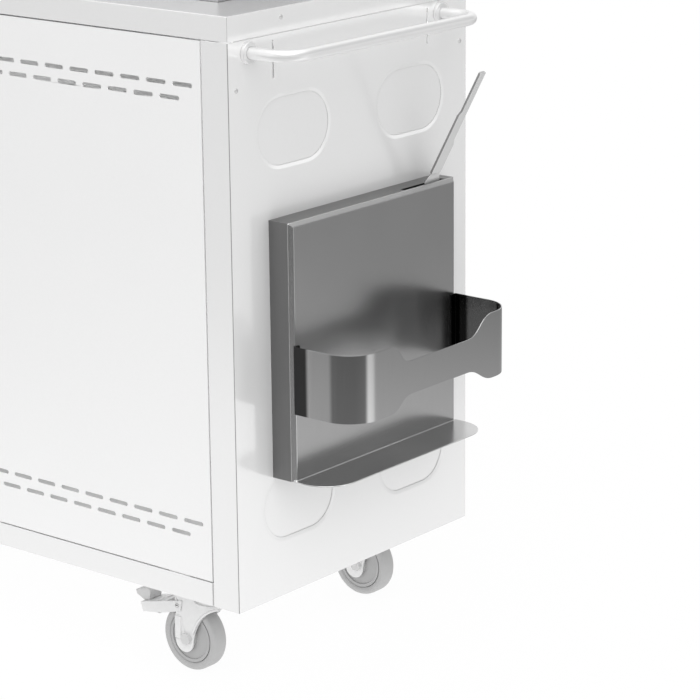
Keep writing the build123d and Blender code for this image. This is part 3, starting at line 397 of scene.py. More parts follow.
def painted_fold_lines(material, tone, sideways, reach):
    """Paint a flat tone on a sheet's folds, from its faces along X to its edges along the sideways
    directions: a painted shade line where the tone is dark, a painted highlight line where it is pale.

    Folds nearer than reach to the middle of the trolley's depth keep the finish.
    """
    tree, socket, plain = base_colour(material)
    facing = add(tree, "ShaderNodeNewGeometry").outputs["Normal"]
    shares = []
    for directions in ((1, 0, 0), sideways):
        part = add(tree, "ShaderNodeVectorMath", {0: facing, 1: directions}, operation="MULTIPLY")
        part = add(tree, "ShaderNodeVectorMath", {0: part}, operation="LENGTH")
        shares.append(part.outputs["Value"])
    slant = add(tree, "ShaderNodeMath", {0: shares[0], 1: shares[1]}, operation="MULTIPLY")
    fold = add(tree, "ShaderNodeMath", {0: slant, 1: FOLD_SLANT}, operation="GREATER_THAN")
    place = add(tree, "ShaderNodeTexCoord").outputs["Object"]
    across = add(tree, "ShaderNodeSeparateXYZ", {0: place}).outputs["Y"]
    inner = add(tree, "ShaderNodeMath", {0: across, 1: MIDDLE_Y, 2: reach}, operation="COMPARE")
    share = add(tree, "ShaderNodeMath", {0: fold, 1: inner}, operation="SUBTRACT", use_clamp=True)
    tinted = add(tree, "ShaderNodeMix", {0: share, 6: plain, 7: (tone, tone, tone, 1.0)}, data_type="RGBA")
    tree.links.new(tinted.outputs[2], socket)


def make_materials(colours):
    """Every finish of the trolley, by the record's slot or by its own name."""
    # Name, colour, darker share of the grain, size of the grain along X, Y and Z in millimetres, roughness,
    # its spread, height of the grain, share of metal
    metals = {
        # Bead-blasted stainless: pale, even, soft reflections
        "cabinet_steel": ("blasted_stainless", colours.panel, 0.03, (3, 3, 3), 0.36, 0.03, 0.10, 0.15),
        # Finer stainless: as pale, but what stands before it shows in it
        "frame_steel": ("fine_stainless", colours.frame, 0.03, (3, 3, 3), 0.14, 0.02, 0.04, 0.28),
        # Stainless with long rolling lines, darker than the frame as a painted dark reflection of the
        # worktop's edge
        "ledge_steel": ("rolled_stainless", colours.ledge, 0.06, (160, 2, 2), 0.32, 0.04, 0.12, 0.3),
        # Ground stainless: upright lines and soft dark mirror images
        "holder_steel": ("ground_stainless", colours.holder, 0.10, (1.6, 1.6, 90), 0.23, 0.02, 0.08, 1.0),
        # Smoother ground strip: a crisp bright line down each bend
        "band_steel": ("band_stainless", colours.band, 0.10, (1.6, 1.6, 90), 0.13, 0.02, 0.08, 1.0),
        # Back sheet, a darker copy of the holder's steel: a painted dark reflection that sets the plate off
        # from the end panel
        "holder_box": ("painted_dark_stainless", colours.holder_box, 0.12, (1.6, 1.6, 90), 0.34, 0.03, 0.16, 1.0),
        # Ground bar: a pale face between grey sides of painted shade, so that the thin handle reads as a
        # solid bar
        "spatula": ("spatula_stainless", colours.spatula, 0.10, (1.5, 1.5, 60), 0.26, 0.03, 0.15, 0.45),
        # Polished tube: lines run along the tube and blur its highlight
        "handle_steel": ("polished_tube", linear("#f4f4f4"), 0.03, (6, 60, 6), 0.30, 0.03, 0.02, 0.4),
        # Satin stainless: level lines along the griddle, darker than the cabinet
        "griddle_steel": ("satin_stainless", linear("#dcdcdc"), 0.07, (120, 2, 2), 0.30, 0.03, 0.14, 1.0),
        # Hard chrome on ground steel: bluish, with the scraper's fine scratches from front to back
        "cooking_chrome": ("hard_chrome", linear("#c3c5c8"), 0.10, (2, 140, 2), 0.16, 0.05, 0.14, 1.0),
        # Scaled steel: brown-black, rough and blotchy from the flame
        "burner_steel": ("scaled_steel", linear("#4a4644"), 0.35, (6, 6, 6), 0.62, 0.08, 0.5, 1.0),
        # Turned brass: the one warm colour, with fine lines
        "valve_brass": ("turned_brass", linear("#d8b46a"), 0.12, (1.5, 20, 1.5), 0.26, 0.04, 0.12, 1.0),
        # Zinc plate: pale and slightly cloudy
        "caster_zinc": ("bright_zinc", colours.zinc, 0.07, (9, 9, 9), 0.34, 0.06, 0.12, 0.25),
        # Screw steel: a small glint on every head
        "screw": ("screw_steel", linear("#e4e4e4"), 0.12, (1.2, 1.2, 1.2), 0.28, 0.04, 0.2, 0.4),
    }
    # Name, colour, darker share of the clouds, grain in millimetres, roughness, height of the grain
    mouldings = {
        # Wheel plastic: a plain grey disc with a faint sheen
        "wheel_plastic": ("grey_polypropylene", colours.wheel, 0.10, 0.8, 0.52, 0.15),
        # Tyre rubber: a duller ring round the disc
        "tyre_rubber": ("grey_rubber", colours.tyre, 0.14, 1.2, 0.68, 0.25),
        # Brake step: pale and slightly glossy beside the zinc
        "brake_plastic": ("grey_nylon", linear("#d0d0d0"), 0.12, 0.7, 0.50, 0.2),
        # Knobs: black with a soft highlight
        "knob_plastic": ("black_phenolic", linear("#1c1c1d"), 0.25, 0.6, 0.36, 0.12),
        # Pointers: flat warm white on the black knobs
        "print": ("white_print", linear("#e9e9e4"), 0.05, 0.4, 0.55, 0.05),
    }
    made = {slot: worked_metal(*row) for slot, row in metals.items()}
    made.update((slot, moulded(*row)) for slot, row in mouldings.items())
    # Painted shade: a dark line down the cabinet's corner folds. Painted highlight: a bright line round the
    # holder's plate
    painted_fold_lines(made["frame_steel"], tone=0.4, sideways=(0, 1, 0), reach=(BACK - FRONT) / 2 - 5 * MM)
    painted_fold_lines(made["holder_steel"], tone=0.95, sideways=(0, 1, 1), reach=0.0)
    # Painted dark reflection on the band's root beside the plate
    painted_root_reflection(made["band_steel"], start=PLATE + 19 * MM, end=PLATE + 27 * MM, share=0.08)
    # Painted shade on the spatula's sides, and a painted dark back for its mirror image
    painted_bar_shade(made["spatula"], side=0.30, back=0.12)
    return made


def new_object(name, data):
    """An object of this data at the origin, linked to the scene."""
    piece = bpy.data.objects.new(name, data)
    bpy.context.scene.collection.objects.link(piece)
    return piece


def plain_mesh(piece, name):
    """Replace an object's modifiers and nodes by the plain mesh that they make."""
    graph = bpy.context.evaluated_depsgraph_get()
    mesh = bpy.data.meshes.new_from_object(piece.evaluated_get(graph), depsgraph=graph)
    mesh.name = name
    bpy.data.objects.remove(piece)
    return new_object(name, mesh)


def smooth(piece):
    """Shade the curved stretches smooth and keep the edges crisp."""
    piece.data.shade_smooth()
    piece.data.set_sharp_from_angle(angle=CRISP_ANGLE)


def settle(piece, body, slot, material, *nodes):
    """Give a finished piece its finish, and seat it on its body in the place of its solids."""
    piece.data.materials.clear()
    piece.data.materials.append(material)
    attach(piece, body)
    if nodes:
        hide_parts(*nodes)


def dressed(node, ending, edge, finish=None, segments=2, split=False, shape=None):
    """A copy of a solid's mesh with its sharp edges rounded, in the solid's place.

    It takes the finish of the solid's slot if no finish is named. split cuts the faces that run round a hole,
    where the rounding leaves little of them. shape may change the mesh before its edges are rounded.
    """
    mesh = frame["nodes"][node].data.copy()
    if "custom_normal" in mesh.attributes:
        mesh.attributes.remove(mesh.attributes["custom_normal"])
    work = bmesh.new()
    work.from_mesh(mesh)
    bmesh.ops.remove_doubles(work, verts=work.verts, dist=WELD)
    bmesh.ops.dissolve_limit(work, angle_limit=FLAT_ANGLE, verts=work.verts, edges=work.edges)
    if shape:
        shape(work)
    if split:
        bmesh.ops.triangulate(work, faces=[face for face in work.faces if len(face.verts) > 4])
    work.to_mesh(mesh)
    work.free()
    name = f"{node}.{ending}"
    piece = new_object(name, mesh)
    bevel = piece.modifiers.new("edges", "BEVEL")
    bevel.width = edge
    bevel.segments = segments
    bevel.limit_method = "ANGLE"
    bevel.angle_limit = ROUNDED_ANGLE
    bevel.use_clamp_overlap = False
    bevel.miter_outer = "MITER_ARC"
    bevel.harden_normals = True
    piece.data.shade_smooth()
    piece = plain_mesh(piece, name)
    settle(piece, BODY_OF[node], SLOT_OF[node], finishes[finish or SLOT_OF[node]], node)


def widen_ovals(work, face, spread):
    """Draw the bevels of an end panel's pressed ovals out over its face, as the press leaves them."""
    moves = {}
    for bevel in work.faces:
        slanted = OVAL_BEVEL[0] < abs(bevel.normal.x) < OVAL_BEVEL[1]
        if not slanted or not FRONT + spread <= bevel.calc_center_median().y <= BACK - spread:
            continue
        outward = Vector((0, -bevel.normal.y, -bevel.normal.z))
        for vert in bevel.verts:
            if abs(vert.co.x - face) < ON_FACE:
                moves[vert] = moves.get(vert, Vector()) + outward
    for vert, outward in moves.items():
        vert.co += outward.normalized() * spread
    for edge in work.edges:
        if all(vert in moves for vert in edge.verts):
            edge.smooth = False


def mesh_of(name, points, faces):
    """A mesh object from its points and faces, with its faces turned outwards."""
    mesh = bpy.data.meshes.new(name)
    mesh.from_pydata(points, [], faces)
    work = bmesh.new()
    work.from_mesh(mesh)
    bmesh.ops.remove_doubles(work, verts=work.verts, dist=WELD)
    bmesh.ops.recalc_face_normals(work, faces=work.faces)
    work.to_mesh(mesh)
    work.free()
    return new_object(name, mesh)


def turned(name, profile, centre):
    """A ring turned about an axle along Y from a closed outline of (width, radius) points."""
    points = []
    for side in range(RING_STEPS):
        angle = 2 * pi * side / RING_STEPS
        for width, radius in profile:
            points.append((centre.x + radius * cos(angle), centre.y + width, centre.z + radius * sin(angle)))
    count = len(profile)
    faces = []
    for side in range(RING_STEPS):
        for step in range(count):
            here, beyond = side * count, (side + 1) % RING_STEPS * count
            onward = (step + 1) % count
            faces.append((here + step, here + onward, beyond + onward, beyond + step))
    return mesh_of(name, points, faces)


def rounded(corners, radius):
    """A closed outline of (width, radius) points with every corner rounded."""
    outline = []
    for index, corner in enumerate(corners):
        before = Vector(corners[index - 1]) - Vector(corner)
        after = Vector(corners[(index + 1) % len(corners)]) - Vector(corner)
        reach = min(radius, before.length / SHOULDER_PART, after.length / SHOULDER_PART)
        start = Vector(corner) + before.normalized() * reach
        end = Vector(corner) + after.normalized() * reach
        for step in range(SHOULDER_STEPS + 1):
            share = step / SHOULDER_STEPS
            outline.append(tuple(
                start * (1 - share) ** 2 + Vector(corner) * 2 * share * (1 - share) + end * share ** 2
            ))
    return outline


def bent_tube(name, corners, bend, radius):
    """A round tube along straight runs, with an arc of the same radius at each corner."""
    path = [Vector(corners[0])]
    for before, corner, after in zip(corners, corners[1:], corners[2:]):
        inward = (Vector(before) - Vector(corner)).normalized()
        onward = (Vector(after) - Vector(corner)).normalized()
        half = inward.angle(onward) / 2
        middle = Vector(corner) + (inward + onward).normalized() * bend / sin(half)
        start = Vector(corner) + inward * bend / tan(half) - middle
        axis = start.cross(Vector(corner) + onward * bend / tan(half) - middle)
        turn = pi - 2 * half
        for step in range(BEND_STEPS + 1):
            path.append(middle + Matrix.Rotation(turn * step / BEND_STEPS, 3, axis) @ start)
    path.append(Vector(corners[-1]))
    curve = bpy.data.curves.new(name, "CURVE")
    curve.dimensions = "3D"
    curve.bevel_depth = radius
    curve.bevel_resolution = TUBE_RESOLUTION
    curve.use_fill_caps = True
    spline = curve.splines.new("POLY")
    spline.points.add(len(path) - 1)
    for point, place in zip(spline.points, path):
        point.co = (*place, 1.0)
    piece = plain_mesh(new_object(name, curve), name)
    smooth(piece)
    return piece


def new_tree(name, *numbers):
    """A geometry node tree that is given these numbers and a material, its inputs and its output node."""
    tree = bpy.data.node_groups.new(name, "GeometryNodeTree")
    tree.interface.new_socket("Geometry", in_out="INPUT", socket_type="NodeSocketGeometry")
    tree.interface.new_socket("Material", in_out="INPUT", socket_type="NodeSocketMaterial")
    for label in numbers:
        kind = "NodeSocketInt" if label == "Count" else "NodeSocketFloat"
        tree.interface.new_socket(label, in_out="INPUT", socket_type=kind)
    tree.interface.new_socket("Geometry", in_out="OUTPUT", socket_type="NodeSocketGeometry")
    return tree, add(tree, "NodeGroupInput").outputs, add(tree, "NodeGroupOutput")


def close_tree(tree, given, result, shape):
    """Set the shape on every given point, turned to the point's facing, as one plain mesh of one material."""
    facing = add(tree, "GeometryNodeInputNamedAttribute", {"Name": "facing"}, data_type="FLOAT_VECTOR")
    turn = add(tree, "FunctionNodeAlignRotationToVector", {"Vector": facing}, axis="Z")
    copies = add(
        tree, "GeometryNodeInstanceOnPoints",
        {"Points": given["Geometry"], "Instance": shape, "Rotation": turn},
    )
    mesh = add(tree, "GeometryNodeRealizeInstances", {"Geometry": copies})
    finished = add(tree, "GeometryNodeSetMaterial", {"Geometry": mesh, "Material": given["Material"]})
    tree.links.new(finished.outputs[0], result.inputs["Geometry"])
    return tree


def hexagon(tree, across, height, level):
    """An upright hexagon bar of this width across its corners, with its middle at this level."""
    half = add(tree, "ShaderNodeMath", {0: across, 1: 0.5}, operation="MULTIPLY")
    bar = add(tree, "GeometryNodeMeshCylinder", {"Vertices": 6, "Radius": half, "Depth": height})
    lift = add(tree, "ShaderNodeCombineXYZ", {"Z": level})
    return add(tree, "GeometryNodeTransform", {"Geometry": bar, "Translation": lift})


def screw_tree():
    """Button heads with a hexagon socket."""
    tree, given, result = new_tree("button_screws", "Head", "Height", "Socket")
    ball = add(tree, "GeometryNodeMeshUVSphere", {"Segments": 32, "Rings": 16, "Radius": 0.5})
    size = add(tree, "ShaderNodeCombineXYZ", {"X": given["Head"], "Y": given["Head"], "Z": given["Height"]})
    twice = add(tree, "ShaderNodeVectorMath", {0: size, 1: (1, 1, 2)}, operation="MULTIPLY")
    dome = add(tree, "GeometryNodeTransform", {"Geometry": ball, "Scale": twice})
    key = hexagon(tree, given["Socket"], given["Height"], given["Height"])
    head = add(tree, "GeometryNodeMeshBoolean", {"Mesh 1": dome, "Mesh 2": key}, operation="DIFFERENCE")
    return close_tree(tree, given, result, head)


def bolt_tree():
    """Hexagon bolt heads on round washers."""
    tree, given, result = new_tree("plate_bolts", "Across", "Height")
    middle = add(tree, "ShaderNodeMath", {0: given["Height"], 1: 0.5}, operation="MULTIPLY")
    head = hexagon(tree, given["Across"], given["Height"], middle)
    wide = add(tree, "ShaderNodeMath", {0: given["Across"], 1: WASHER_RADIUS}, operation="MULTIPLY")
    thin = add(tree, "ShaderNodeMath", {0: given["Height"], 1: WASHER_HEIGHT}, operation="MULTIPLY")
    washer = add(tree, "GeometryNodeMeshCylinder", {"Vertices": 32, "Radius": wide, "Depth": thin})
    both = add(tree, "GeometryNodeJoinGeometry")
    for part in (head, washer):
        tree.links.new(part.outputs[0], both.inputs[0])
    return close_tree(tree, given, result, both)


def dial_tree():
    """An arc of printed marks round each point, from its top towards the right end."""
    tree, given, result = new_tree("dial_marks", "Radius", "Length", "Width", "Film", "Count", "Sweep")
    arc = add(
        tree, "GeometryNodeCurveArc",
        {"Resolution": given["Count"], "Radius": given["Radius"], "Start Angle": -pi / 2,
         "Sweep Angle": given["Sweep"]},
    )
    size = add(tree, "ShaderNodeCombineXYZ", {"X": given["Length"], "Y": given["Width"], "Z": given["Film"]})
    mark = add(tree, "GeometryNodeMeshCube", {"Size": size})
    place = add(tree, "GeometryNodeInputPosition")
    turn = add(tree, "FunctionNodeAlignRotationToVector", {"Vector": place}, axis="X")
    ring = add(tree, "GeometryNodeInstanceOnPoints", {"Points": arc, "Instance": mark, "Rotation": turn})
    plain = add(tree, "GeometryNodeRealizeInstances", {"Geometry": ring})
    return close_tree(tree, given, result, plain)


def scattered(name, tree, places, body, slot, **values):
    """Pieces of a node tree at these (place, facing) pairs, as one plain mesh on one body."""
    mesh = bpy.data.meshes.new(name)
    mesh.from_pydata([place for place, facing in places], [], [])
    facings = mesh.attributes.new("facing", "FLOAT_VECTOR", "POINT")
    for item, (place, facing) in zip(facings.data, places):
        item.vector = facing
    piece = new_object(name, mesh)
    modifier = piece.modifiers.new("pieces", "NODES")
    modifier.node_group = tree
    for socket in tree.interface.items_tree:
        if socket.in_out == "INPUT" and socket.name in values:
            modifier[socket.identifier] = values[socket.name]
    piece = plain_mesh(piece, name)
    smooth(piece)
    settle(piece, body, slot, values["Material"])


def floor_material(stage):
    """A floor that is plain white to the camera, and cards and flags round the trolley in reflections."""
    material, tree, output = new_material("studio_floor")
    path = add(tree, "ShaderNodeLightPath").outputs
    place = add(tree, "ShaderNodeTexCoord").outputs["Object"]
    around = add(tree, "ShaderNodeVectorMath", {0: place, 1: (RIGHT, FRONT, 0)}, operation="SUBTRACT")
    parts = add(tree, "ShaderNodeSeparateXYZ", {0: around}).outputs
    back = add(tree, "ShaderNodeMath", {0: parts["Y"], 1: -1.0}, operation="MULTIPLY")
    angle = add(tree, "ShaderNodeMath", {0: parts["X"], 1: back}, operation="ARCTAN2")
    share = add(tree, "ShaderNodeMapRange", {"Value": angle, "From Min": -pi, "From Max": pi})
    cards = add(tree, "ShaderNodeValToRGB", {"Fac": share})
    stops = cards.color_ramp.elements
    while len(stops) < len(FLOOR_TONES):
        stops.new(0.5)
    for stop, (degrees, tone) in zip(stops, FLOOR_TONES):
        stop.position = (degrees + 180) / 360
        stop.color = (tone, tone, tone, 1.0)
    reach = add(tree, "ShaderNodeVectorMath", {0: around}, operation="LENGTH").outputs["Value"]
    fade = add(
        tree, "ShaderNodeMapRange",
        {"Value": reach, "From Min": FLOOR_FADE[0], "From Max": FLOOR_FADE[1],
         "To Min": 1.0, "To Max": stage.falloff},
        interpolation_type="SMOOTHSTEP",
    )
    colour = (*stage.floor, 1.0)
    white = add(tree, "ShaderNodeEmission", {"Color": colour, "Strength": 1.0})
    shaded = add(tree, "ShaderNodeBsdfDiffuse", {"Color": colour})
    seen = add(tree, "ShaderNodeMixShader", {0: stage.shadow, 1: white, 2: shaded})
    glossy = add(tree, "ShaderNodeEmission", {"Color": cards, "Strength": fade})
    even = add(tree, "ShaderNodeEmission", {"Color": colour, "Strength": stage.bounce})
    unseen = add(tree, "ShaderNodeMixShader", {0: path["Is Diffuse Ray"], 1: glossy, 2: even})
    mixed = add(tree, "ShaderNodeMixShader", {0: path["Is Camera Ray"], 1: unseen, 2: seen})
    tree.links.new(mixed.outputs[0], output.inputs["Surface"])
    return material


def light_world(scene, stage):
    """A white room, of which reflections see the dim side, the horizon and the overhead light."""
    world = bpy.data.worlds.new("studio")
    scene.world = world
    world.use_nodes = True
    tree = world.node_tree
    tree.nodes.clear()
    path = add(tree, "ShaderNodeLightPath").outputs
    aim = add(tree, "ShaderNodeTexCoord").outputs["Generated"]
    parts = add(tree, "ShaderNodeSeparateXYZ", {0: aim}).outputs
    # Each stretch runs between two tones, of which None is the tone of the stretches before it
    tone = stage.dim_side
    for axis, band, low, high in (
        ("X", ROOM_SIDE, ROOM_TONE, None),
        ("Z", ROOM_HORIZON, ROOM_TONE, None),
        ("Z", ROOM_OVERHEAD, None, stage.overhead),
    ):
        low, high = (tone if end is None else end for end in (low, high))
        tone = add(
            tree, "ShaderNodeMapRange",
            {"Value": parts[axis], "From Min": band[0], "From Max": band[1], "To Min": low, "To Max": high},
            interpolation_type="SMOOTHSTEP",
        )
    mirrored = add(
        tree, "ShaderNodeMath", {0: path["Is Glossy Ray"], 1: path["Is Transmission Ray"]},
        operation="MAXIMUM",
    )
    lit = add(tree, "ShaderNodeMix", {0: mirrored, 2: stage.ambient, 3: tone})
    strength = add(tree, "ShaderNodeMix", {0: path["Is Camera Ray"], 2: lit, 3: 1.0})
    light = add(tree, "ShaderNodeBackground", {"Color": (1, 1, 1, 1), "Strength": strength})
    output = add(tree, "ShaderNodeOutputWorld")
    tree.links.new(light.outputs[0], output.inputs["Surface"])


def light_lamps(stage):
    """A large soft key light, and small lamps inside the cabinet that keep its openings from going black."""
    key = new_object("key_light", bpy.data.lights.new("key_light", "SUN"))
    key.data.energy = stage.key
    key.data.angle = KEY_ANGLE
    key.rotation_euler = KEY_TURN
    inside = (MIDDLE_X, MIDDLE_Y, BOTTOM + stage.inside_level)
    lamps = [("inner_light", stage.inside, INSIDE_RADIUS, inside)]
    for side, x in zip(SIDES, (RIGHT - stage.slot_inset, LEFT + stage.slot_inset)):
        for across in (-stage.slot_across, stage.slot_across):
            place = (x, MIDDLE_Y + across, BOTTOM + stage.slot_level)
            lamps.append((f"slot_light_{side}", stage.slot_light, SLOT_RADIUS, place))
    for name, power, radius, place in lamps:
        lamp = new_object(name, bpy.data.lights.new(name, "POINT"))
        lamp.data.energy = power
        lamp.data.shadow_soft_size = radius
        lamp.location = place
        lamp.visible_camera = False


def aim_camera(scene, stage):
    """The camera at its solved place, turned by its azimuth, elevation and roll."""
    camera = new_object("camera", bpy.data.cameras.new("camera"))
    camera.data.lens = stage.lens
    camera.data.sensor_width = SENSOR_WIDTH
    camera.data.sensor_fit = "HORIZONTAL"
    camera.data.clip_end = VIEW_DEPTH
    level = Vector((-sin(stage.azimuth), cos(stage.azimuth), 0))
    ahead = level * cos(stage.elevation) - Vector((0, 0, sin(stage.elevation)))
    across = Vector((cos(stage.azimuth), sin(stage.azimuth), 0))
    upward = across.cross(ahead)
    right = across * cos(stage.roll) + upward * sin(stage.roll)
    up = upward * cos(stage.roll) - across * sin(stage.roll)
    turn = Matrix((right, up, -ahead)).transposed()
    camera.matrix_world = Matrix.Translation(stage.eye) @ turn.to_4x4()
    scene.camera = camera


class TROLLEY_OT_panels(bpy.types.Operator):
    """Dress the cabinet's folded panels, worktop and griddle bay"""

    bl_idname = "trolley.panels"
    bl_label = "Cabinet panels"

    def execute(self, context):
        sizes = context.scene.trolley_sheet
        for side, face in zip(SIDES, (RIGHT, LEFT)):
            dressed(
                f"end_panel_{side}", "folded", sizes.fold_round, "frame_steel",
                shape=lambda work: widen_ovals(work, face, sizes.oval_spread),
            )
        for node in ("bottom_deck", "worktop_rim", "door_header"):
            dressed(node, "folded", sizes.fold_round, "frame_steel", split=node == "worktop_rim")
        for node in ("front_panel", "worktop_ledge", "griddle_bay"):
            dressed(node, "folded", sizes.fold_round)
        for side in SIDES:
            dressed(f"door_{side}", "folded", sizes.door_round)
        return {"FINISHED"}


class TROLLEY_OT_tubes(bpy.types.Operator):
    """Bend the push handles and the door pulls, and dress the handles' collars"""

    bl_idname = "trolley.tubes"
    bl_label = "Handles and pulls"

    def execute(self, context):
        sizes = context.scene.trolley_sheet
        for side, face in zip(SIDES, (RIGHT, LEFT)):
            low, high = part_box(f"push_handle_{side}")
            radius = (high.z - low.z) / 2
            out = high.x - radius if side == "right" else low.x + radius
            level = (low.z + high.z) / 2
            near, far = low.y + radius, high.y - radius
            corners = [(face, near, level), (out, near, level), (out, far, level), (face, far, level)]
            handle = bent_tube(f"push_handle_{side}.tube", corners, sizes.handle_bend, radius)
            settle(handle, "cabinet", "handle_steel", finishes["handle_steel"], f"push_handle_{side}")
            low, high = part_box(f"door_pull_{side}")
            radius = (high.x - low.x) / 2
            across = (low.x + high.x) / 2
            out = high.y - radius
            foot, head = low.z + radius, high.z - radius
            corners = [(across, BACK, foot), (across, out, foot), (across, out, head), (across, BACK, head)]
            pull = bent_tube(f"door_pull_{side}.bar", corners, sizes.pull_bend, radius)
            settle(pull, f"door_{side}", "handle_steel", finishes["handle_steel"], f"door_pull_{side}")
        dressed("handle_collars", "turned", sizes.knob_round, segments=3)
        return {"FINISHED"}


class TROLLEY_OT_griddle(bpy.types.Operator):
    """Dress the griddle: casing, plate, splash guard, grease drawer and knobs"""

    bl_idname = "trolley.griddle"
    bl_label = "Griddle"

    def execute(self, context):
        sizes = context.scene.trolley_sheet
        for node in ("griddle_casing", "splash_guard", "grease_drawer"):
            dressed(node, "folded", sizes.fold_round)
        dressed("cooking_plate", "ground", sizes.fold_round, segments=3)
        for knob in KNOBS:
            dressed(f"knob_{knob}", "moulded", sizes.knob_round, segments=3, split=True)
        return {"FINISHED"}


class TROLLEY_OT_holder(bpy.types.Operator):
    """Dress the holder's box and plate, the bent band that holds the bottles, and the spatula"""

    bl_idname = "trolley.holder"
    bl_label = "Bottle holder"

    def execute(self, context):
        sizes = context.scene.trolley_holder
        dressed("holder_box", "folded", sizes.edge_round, "holder_box", split=True)
        dressed("holder_plate", "folded", sizes.fold_round)
        dressed("bottle_band", "bent", sizes.edge_round, "band_steel")
        dressed("spatula_blade", "ground", sizes.edge_round, "spatula")
        dressed("spatula_grip", "ground", sizes.grip_round, "spatula", segments=3)
        return {"FINISHED"}


class TROLLEY_OT_casters(bpy.types.Operator):
    """Dress the casters' pressed pieces, axles and wheel cores, and turn their tyres"""

    bl_idname = "trolley.casters"
    bl_label = "Casters"

    def execute(self, context):
        sizes = context.scene.trolley_casters
        edge = context.scene.trolley_sheet.cast_round
        dressed("caster_plates", "pressed", edge)
        dressed("caster_rails", "folded", edge)
        for place in CASTER_PLACES:
            dressed(f"fork_{place}", "pressed", edge, split=True)
            dressed(f"axle_{place}", "turned", edge, "screw")
            dressed(f"wheel_core_{place}", "moulded", edge)
            low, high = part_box(f"tyre_{place}")
            core_low, core_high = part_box(f"wheel_core_{place}")
            centre = (low + high) / 2
            outer = (high.x - low.x) / 2
            inner = (core_high.x - core_low.x) / 2
            half = (high.y - low.y) / 2
            corners = [(-half, inner), (-half, outer), (half, outer), (half, inner)]
            tyre = turned(f"tyre_{place}.moulded", rounded(corners, sizes.tread_round), centre)
            smooth(tyre)
            settle(tyre, BODY_OF[f"tyre_{place}"], "tyre_rubber", finishes["tyre_rubber"], f"tyre_{place}")
        for place in BRAKED_PLACES:
            dressed(f"brake_lever_{place}", "pressed", edge)
            dressed(f"brake_step_{place}", "moulded", edge * 2, segments=3)
        return {"FINISHED"}


class TROLLEY_OT_fasteners(bpy.types.Operator):
    """Set the screws of the panels and the bolts of the caster plates"""

    bl_idname = "trolley.fasteners"
    bl_label = "Screws and bolts"

    def execute(self, context):
        sizes = context.scene.trolley_screws
        places = []
        for face, out in ((RIGHT, 1), (LEFT, -1)):
            for inset, level in ((sizes.end_inset, sizes.end_level), (sizes.rim_inset, sizes.rim_level)):
                for across in (FRONT + inset, BACK - inset):
                    places.append(((face, across, BOTTOM + level), (out, 0, 0)))
        low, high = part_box("control_fascia")
        for x in (low.x + sizes.fascia_inset, high.x - sizes.fascia_inset):
            for z in (low.z + sizes.fascia_inset, high.z - sizes.fascia_inset):
                places.append(((x, high.y, z), (0, 1, 0)))
        scattered(
            "panel_screws", screw_tree(), places, "cabinet", "cabinet_steel",
            Head=sizes.head, Height=sizes.height, Socket=sizes.socket, Material=finishes["screw"],
        )
        sizes = context.scene.trolley_casters
        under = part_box("swivel_races")[1].z
        places = []
        for place in CASTER_PLACES:
            low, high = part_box(f"fork_{place}")
            swivel = Vector((high.x - sizes.crown_radius, (low.y + high.y) / 2, under))
            for along in (-0.5, 0.5):
                for across in (-0.5, 0.5):
                    spot = swivel + Vector((along * sizes.bolt_pitch_x, across * sizes.bolt_pitch_y, 0))
                    places.append((spot, (0, 0, -1)))
        scattered(
            "plate_bolts", bolt_tree(), places, "cabinet", "caster_zinc",
            Across=sizes.bolt_across, Height=sizes.bolt_height, Material=finishes["screw"],
        )
        return {"FINISHED"}


class TROLLEY_OT_dials(bpy.types.Operator):
    """Print the marks round the knobs and the pointer on each knob"""

    bl_idname = "trolley.dials"
    bl_label = "Dial marks"

    def execute(self, context):
        sizes = context.scene.trolley_dials
        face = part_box("control_fascia")[1].y
        places = []
        for knob in KNOBS:
            low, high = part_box(f"knob_{knob}")
            middle = (low + high) / 2
            radius = (high.x - low.x) / 2
            places.append(((middle.x, face, middle.z), (0, 1, 0)))
            half = Vector((sizes.tick_width, sizes.film, sizes.tick_length))
            tip = Vector((middle.x, high.y, middle.z + radius - 2 * sizes.tick_length))
            corners = [tip + half * Vector(signs) for signs in product((-1, 1), repeat=3)]
            pointer = mesh_of(f"knob_{knob}.pointer", corners, BLOCK_FACES)
            settle(pointer, f"knob_{knob}", "knob_plastic", finishes["print"])
        scattered(
            "dial_marks", dial_tree(), places, "cabinet", "griddle_steel",
            Radius=radius + sizes.gap + sizes.tick_length / 2, Length=sizes.tick_length,
            Width=sizes.tick_width, Film=2 * sizes.film, Count=sizes.count, Sweep=sizes.sweep,
            Material=finishes["knob_plastic"],
        )
        return {"FINISHED"}


class TROLLEY_OT_inner_metal(bpy.types.Operator):
    """Give the solids that stay as they are their finishes"""

    bl_idname = "trolley.inner_metal"
    bl_label = "Inner metal"

    def execute(self, context):
        for node, solid in frame["nodes"].items():
            for slot in solid.material_slots:
                slot.material = finishes[SLOT_OF[node]]
        return {"FINISHED"}


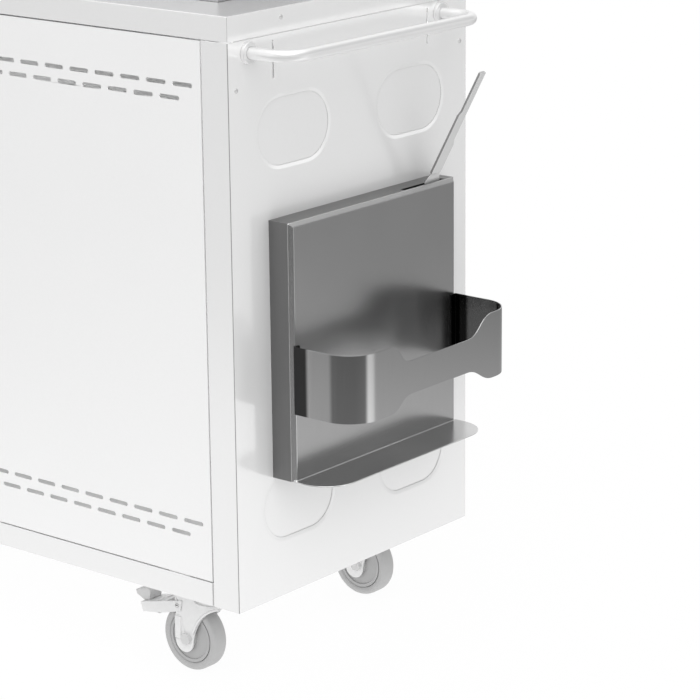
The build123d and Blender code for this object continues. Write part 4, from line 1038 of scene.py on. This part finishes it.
class TROLLEY_OT_stage(bpy.types.Operator):
    """Set up the floor, the soft studio light and the camera"""

    bl_idname = "trolley.stage"
    bl_label = "Studio"

    def execute(self, context):
        scene = context.scene
        scene.view_settings.view_transform = "Standard"
        stage = scene.trolley_stage
        corners = [(x * FLOOR_REACH, y * FLOOR_REACH, 0) for x, y in ((-1, -1), (1, -1), (1, 1), (-1, 1))]
        floor = mesh_of("studio_floor", corners, [(0, 1, 2, 3)])
        floor.data.materials.append(floor_material(stage))
        light_world(scene, stage)
        light_lamps(stage)
        aim_camera(scene, stage)
        return {"FINISHED"}


PROPERTY_GROUPS = {
    "trolley_sheet": TrolleySheetSizes,
    "trolley_holder": TrolleyHolderSizes,
    "trolley_casters": TrolleyCasterSizes,
    "trolley_screws": TrolleyScrewSizes,
    "trolley_dials": TrolleyDialSizes,
    "trolley_colours": TrolleyColours,
    "trolley_stage": TrolleyStage,
}
OPERATORS = (
    TROLLEY_OT_inner_metal, TROLLEY_OT_panels, TROLLEY_OT_tubes, TROLLEY_OT_griddle, TROLLEY_OT_holder,
    TROLLEY_OT_casters, TROLLEY_OT_fasteners, TROLLEY_OT_dials, TROLLEY_OT_stage,
)


class TROLLEY_PT_sidebar(bpy.types.Panel):
    """The trolley's pieces, one button each"""

    bl_idname = "TROLLEY_PT_sidebar"
    bl_label = "Plancha trolley"
    bl_space_type = "VIEW_3D"
    bl_region_type = "UI"
    bl_category = "Trolley"

    def draw(self, context):
        for operator in OPERATORS:
            self.layout.operator(operator.bl_idname)


def register():
    """Register the classes and their settings."""
    for name, group in PROPERTY_GROUPS.items():
        bpy.utils.register_class(group)
        setattr(bpy.types.Scene, name, bpy.props.PointerProperty(type=group))
    for operator in OPERATORS:
        bpy.utils.register_class(operator)
    bpy.utils.register_class(TROLLEY_PT_sidebar)


def unregister():
    """Take the classes and their settings out again."""
    bpy.utils.unregister_class(TROLLEY_PT_sidebar)
    for operator in reversed(OPERATORS):
        bpy.utils.unregister_class(operator)
    for name, group in PROPERTY_GROUPS.items():
        delattr(bpy.types.Scene, name)
        bpy.utils.unregister_class(group)


finishes = {}


def main():
    """Build every piece in order."""
    register()
    finishes.update(make_materials(bpy.context.scene.trolley_colours))
    for operator in OPERATORS:
        group, name = operator.bl_idname.split(".")
        getattr(getattr(bpy.ops, group), name)()


if __name__ == "__main__":
    main()
